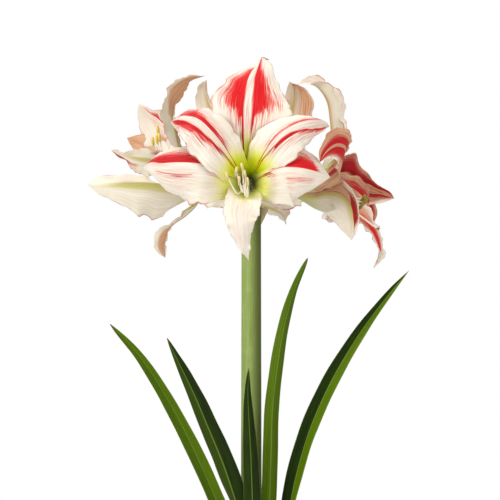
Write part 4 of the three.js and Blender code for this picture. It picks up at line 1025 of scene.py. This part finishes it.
def mouth_of(flower):
  """Where a flower's tube opens, and the way it faces."""
  return np.array(flower["mouth"], float), unit(np.array(flower["axis"], float))


def tepal_width(tepal, u):
  widest = tepal.get("widest", 0.57)
  root = 0.24
  swell = root + (1 - root) * np.sin(np.pi / 2 * np.minimum(u / widest, 1)) ** tepal.get("rise", 1.5)
  q = np.clip((u - widest) / (1 - widest), 0, 1)
  return swell * np.maximum(1 - q ** 2.1, 0.0015) ** tepal.get("tip", 0.95)


def tepal_grid(flower, tepal):
  """The middle surface of a tepal, and its u and v."""
  mouth, axis = mouth_of(flower)
  path = np.array(tepal["path"], float)
  radial = unit(path[0] - axis * (path[0] @ axis))
  ring = TEPAL_RING - (1 if tepal.get("inner") else 0)
  centres = curve_points([mouth + point for point in (radial * ring, *path)], TEPAL_STEPS)
  frames = carried_frames(centres, np.cross(radial, axis))
  u, v = blade_grid(TEPAL_STEPS, TEPAL_STRIPS)
  sides, faces = turned_frames(*frames, along(tepal.get("roll", [0, 0]), u))
  v = np.sign(v) * np.abs(v) ** 0.9
  columns = [tepal_column(tepal, u[:, 0], abs(x), int(x >= 0)) for x in v[0]]
  across, out = np.stack(columns, -1)
  return sheet(centres, sides, faces, np.sign(v) * across, out), u, v


def tepal_column(tepal, u, v, half):
  """Where the points at one v lie: across the midrib and out of the face."""
  phase = [2 * np.pi * draw(tepal["seed"], k + 3 * half) for k in range(7)]
  turn = 2 * np.pi * tepal.get("freq", 2.4) * u

  def waves(*terms):
    """A sum of waves along the margin, each with its height, pace and phase."""
    return sum(height * np.sin(turn * pace + phase[k]) for height, pace, k in terms)

  edge = np.clip((u - 0.12) / 0.35, 0, 1) ** 1.2 * np.clip((1 - u) / 0.12, 0.25, 1)
  width = (tepal["width"] / 2) * tepal_width(tepal, u)
  width = width * along(tepal.get("spread", [1, 1]), u, half)
  ragged = waves((1, 2.9, 4), (0.35, 6.1, 5), (0.12, 13, 6))
  width = width * (1 + 0.035 * ragged * edge * v ** 2)
  bend = along(tepal["cup"], u, half)
  bend = np.where(np.abs(bend) < 1e-3, 1e-3, bend)
  tilt = np.radians(along(tepal.get("fold", [8, 8, 6]), u, half))
  x = width * np.sin(bend * v) / bend
  z = width * (1 - np.cos(bend * v)) / bend
  ripple = waves((1, 1, 0), (0.5, 2.3, 1))
  frill = waves((0.35, 4.3, 2), (0.2, 9.7, 3))
  rib = -0.5 * np.exp(-((v / 0.05) ** 2)) * np.clip((1 - u) / 0.2, 0, 1)
  lift = tepal.get("wave", 3) * edge * (v ** 2.2 * ripple + v ** 5 * frill) + rib
  return x * np.cos(tilt) - z * np.sin(tilt), x * np.sin(tilt) + z * np.cos(tilt) + lift


def tepal_marks(look, u, v):
  """The band, tone and wash of a tepal at every point of its grid."""
  look = {**LOOK, **look}

  def halves(key):
    return np.where(v < 0, *(along(look[key], u, half) for half in (0, 1)))

  dry = ease(look["dry"], look["dry"] + 0.05, u) + 0 * v
  return dict(band=stacked(halves("band_in"), halves("band_out"), halves("strength")),
              tone=stacked(look["dark"], look["ghost"], dry),
              wash=stacked(halves("fade_and_shade"), look["green"], look["rim"]))


def make_tepals(name, flower, number):
  shape = Shape(grow=3, band=3, tone=3, wash=3, upper=1)
  for k, tepal in enumerate(flower["tepals"]):
    grid, u, v = tepal_grid(flower, tepal)
    thick = 0.9 - 0.55 * np.abs(v) ** 1.5 - 0.15 * u
    marks = tepal_marks(LOOKS[name][k], u, v)
    add_blade(shape, grid, thick, grow=stacked(u, v, number * 6 + k), **marks)
  mouth, axis = mouth_of(flower)
  tube = [mouth + axis * h for h in (-TUBE_DEPTH, -TUBE_DEPTH * 0.6, -2, TUBE_LIP - 1, TUBE_LIP)]
  radii = [TUBE_RADIUS - inset for inset in (0.8, 0, 0, 1.5, 3)]
  add_tube(shape, tube, radii, PEDICEL_SIDES, np.cross(UP, axis), wash=(0, 1, 0))
  shape.make(f"tepals_{name}", [PETAL_MATERIAL], f"flower_{name}_tepals", slot="petal")


def make_stamens(name, flower, materials):
  """Six filaments with their anthers, and the style with its three-lobed tip."""
  mouth, axis = mouth_of(flower)
  across = unit(np.cross(UP, axis))
  up = np.cross(axis, across)
  seat = mouth + axis * (TUBE_LIP + GAP)

  def spot(side, rise, reach):
    return seat + across * side + up * rise + axis * reach

  def thread(root, foot, low, end, steps):
    """A thread that leaves its root forwards, sags to its low point and rises to its end."""
    return curve_points([root, low + (foot - low) * 0.45 + axis * 4, low, end], steps)

  shape = Shape(grow=3)
  add_tube(shape, [seat, seat + axis * 1.6], [5.6, 4.8], 24, across, number=-1)
  sag, reach = flower["sag"], flower["reach"]
  for k, (side, rise) in enumerate(flower["ends"]):
    angle = 2 * math.pi * k / 6 + 0.3
    c, s = math.cos(angle), math.sin(angle)
    end = spot(side, rise, reach * (1 - 0.03 * (k % 3)))
    low = spot(side * 0.5, 3 * s - sag, reach * 0.6)
    line = thread(spot(2.6 * c, 2.6 * s, 0.8), spot(2.6 * c, 2.6 * s, 0), low, end, FILAMENT_STEPS)
    add_tube(shape, line, 0.95 - 0.25 * np.linspace(0, 1, FILAMENT_STEPS + 1), THREAD_SIDES, across)
    lean = across * (0.5 * draw(k, 4) - 0.25)
    add_anther(shape, end, unit(axis * 0.35 + up * 0.9 + lean), unit(line[-1] - line[-3]), k)
  side, rise = flower["style"]
  low, end = spot(side * 0.5, -sag - 2, reach * 0.7), spot(side, rise, reach * 1.25)
  line = thread(spot(0, 0, 0.8), seat, low, end, STYLE_STEPS)
  add_tube(shape, line, np.full(STYLE_STEPS + 1, 1.05), THREAD_SIDES, across)
  for angle in turn_angles(3):
    flick = unit(axis * 0.6 + across * math.cos(angle) + up * math.sin(angle))
    lobe = curve_points([end - axis, end + axis * 0.8 + flick * 0.8, end + flick * 3.6 + axis], 10)
    add_tube(shape, lobe, 0.95 - 0.5 * np.linspace(0, 1, 11), 8, across, slot=1)
  shape.make(f"stamens_{name}", materials, f"flower_{name}_stamens", slot="stamen")


def add_anther(shape, middle, lengthwise, bow, k):
  """A curved, grooved anther, balanced on the tip of its filament."""
  t = np.linspace(-1, 1, 25)
  centres = middle + lengthwise * (t * 5.5)[:, None] + bow * (1.4 * (1 - t ** 2) - 0.8)[:, None]
  radius = 1.75 * np.sqrt(np.maximum(1 - np.abs(t) ** 2.6, 0.02))
  sides = 16
  groove = 1 + 0.22 * np.cos(2 * turn_angles(sides))
  add_tube(shape, centres, radius, sides, bow, groove, slot=1, number=k)


# Camera, light and ground

def make_camera():
  data = bpy.data.cameras.new("camera")
  data.sensor_width = SENSOR
  data.lens = SENSOR * VIEW_DISTANCE / VIEW_WIDTH
  data.clip_end = 20
  camera = bpy.data.objects.new("camera", data)
  camera.location = (VIEW_MIDDLE[0] * MM, -VIEW_DISTANCE * MM, VIEW_MIDDLE[1] * MM)
  camera.rotation_euler = (math.pi / 2, 0, 0)
  SCENE.collection.objects.link(camera)
  SCENE.camera = camera


def make_light(name, place, size, power):
  """A round light that faces the middle of the plant, in metres and watts."""
  data = bpy.data.lights.new(name, "AREA")
  data.shape = "DISK"
  data.size = size
  data.energy = power
  light = bpy.data.objects.new(name, data)
  light.location = place
  aim = Vector((0, 0, 0.5)) - Vector(place)
  light.rotation_euler = aim.to_track_quat("-Z", "Y").to_euler()
  SCENE.collection.objects.link(light)


def make_lights():
  make_light("key", (-1.9, -1.6, 1.4), 0.9, 34)
  make_light("top", (-0.2, -0.4, 2.3), 1.4, 16)
  make_light("front", (0.9, -2.6, 0.8), 1.6, 13)
  make_light("right", (1.8, -1.3, 1.1), 1.2, 10)
  make_light("back", (-0.6, 1.8, 1.5), 1.2, 10)


def make_world():
  """A warm, dim room that the camera itself sees as white."""
  world = bpy.data.worlds.new("white room")
  SCENE.world = world
  world.use_nodes = True
  nodes, links = world.node_tree.nodes, world.node_tree.links
  room = nodes["Background"]
  room.inputs["Strength"].default_value = 0.42
  room.inputs["Color"].default_value = (1, 0.98, 0.94, 1)
  seen = nodes.new("ShaderNodeBackground")
  seen.inputs["Color"].default_value = (1, 1, 1, 1)
  pick = nodes.new("ShaderNodeMixShader")
  links.new(nodes.new("ShaderNodeLightPath").outputs["Is Camera Ray"], pick.inputs[0])
  links.new(room.outputs[0], pick.inputs[1])
  links.new(seen.outputs[0], pick.inputs[2])
  links.new(pick.outputs[0], nodes["World Output"].inputs["Surface"])


def make_floor():
  g = Graph("pale floor")
  grain = g.noise(g.place(), 6.0)
  colour = g.over((236, 235, 232), (242, 241, 239), grain, 0.3, 0.7)
  radius, sides, drop = 1.5, 96, 0.0005
  mesh = bpy.data.meshes.new("floor")
  mesh.from_pydata(polar(radius, turn_angles(sides), -drop).tolist(), [], [tuple(range(sides))])
  mesh.materials.append(g.finish(colour, 0.8))
  floor = bpy.data.objects.new("floor", mesh)
  SCENE.collection.objects.link(floor)


SCENE.view_settings.view_transform = "Standard"
make_camera()
make_lights()
make_world()
make_floor()

PETAL_MATERIAL = petal_material()
LEAF_MATERIAL = leaf_material()
FILAMENT = stamen_material("filament", (206, 208, 120), (246, 240, 220), (255, 250, 236))
ANTHER_TAN = stamen_material("anther_tan", (206, 180, 120), (226, 204, 150), (240, 224, 178))
ANTHERS = {
  "left": stamen_material("anther_gold", (222, 190, 84), (236, 208, 110), (248, 230, 150)),
  "right": stamen_material("anther_olive", (110, 92, 30), (146, 122, 48), (190, 160, 80)),
}

make_pot()
make_soil()
make_bulb()
make_stalk()
for number, (name, leaf) in enumerate(LEAVES.items()):
  make_leaf(name, leaf, number)
for number, (name, bract) in enumerate(BRACTS.items()):
  make_bract(name, bract, number)
for number, (name, flower) in enumerate(FLOWERS.items()):
  make_tepals(name, flower, number)
  make_stamens(name, flower, [FILAMENT, ANTHERS.get(name, ANTHER_TAN)])
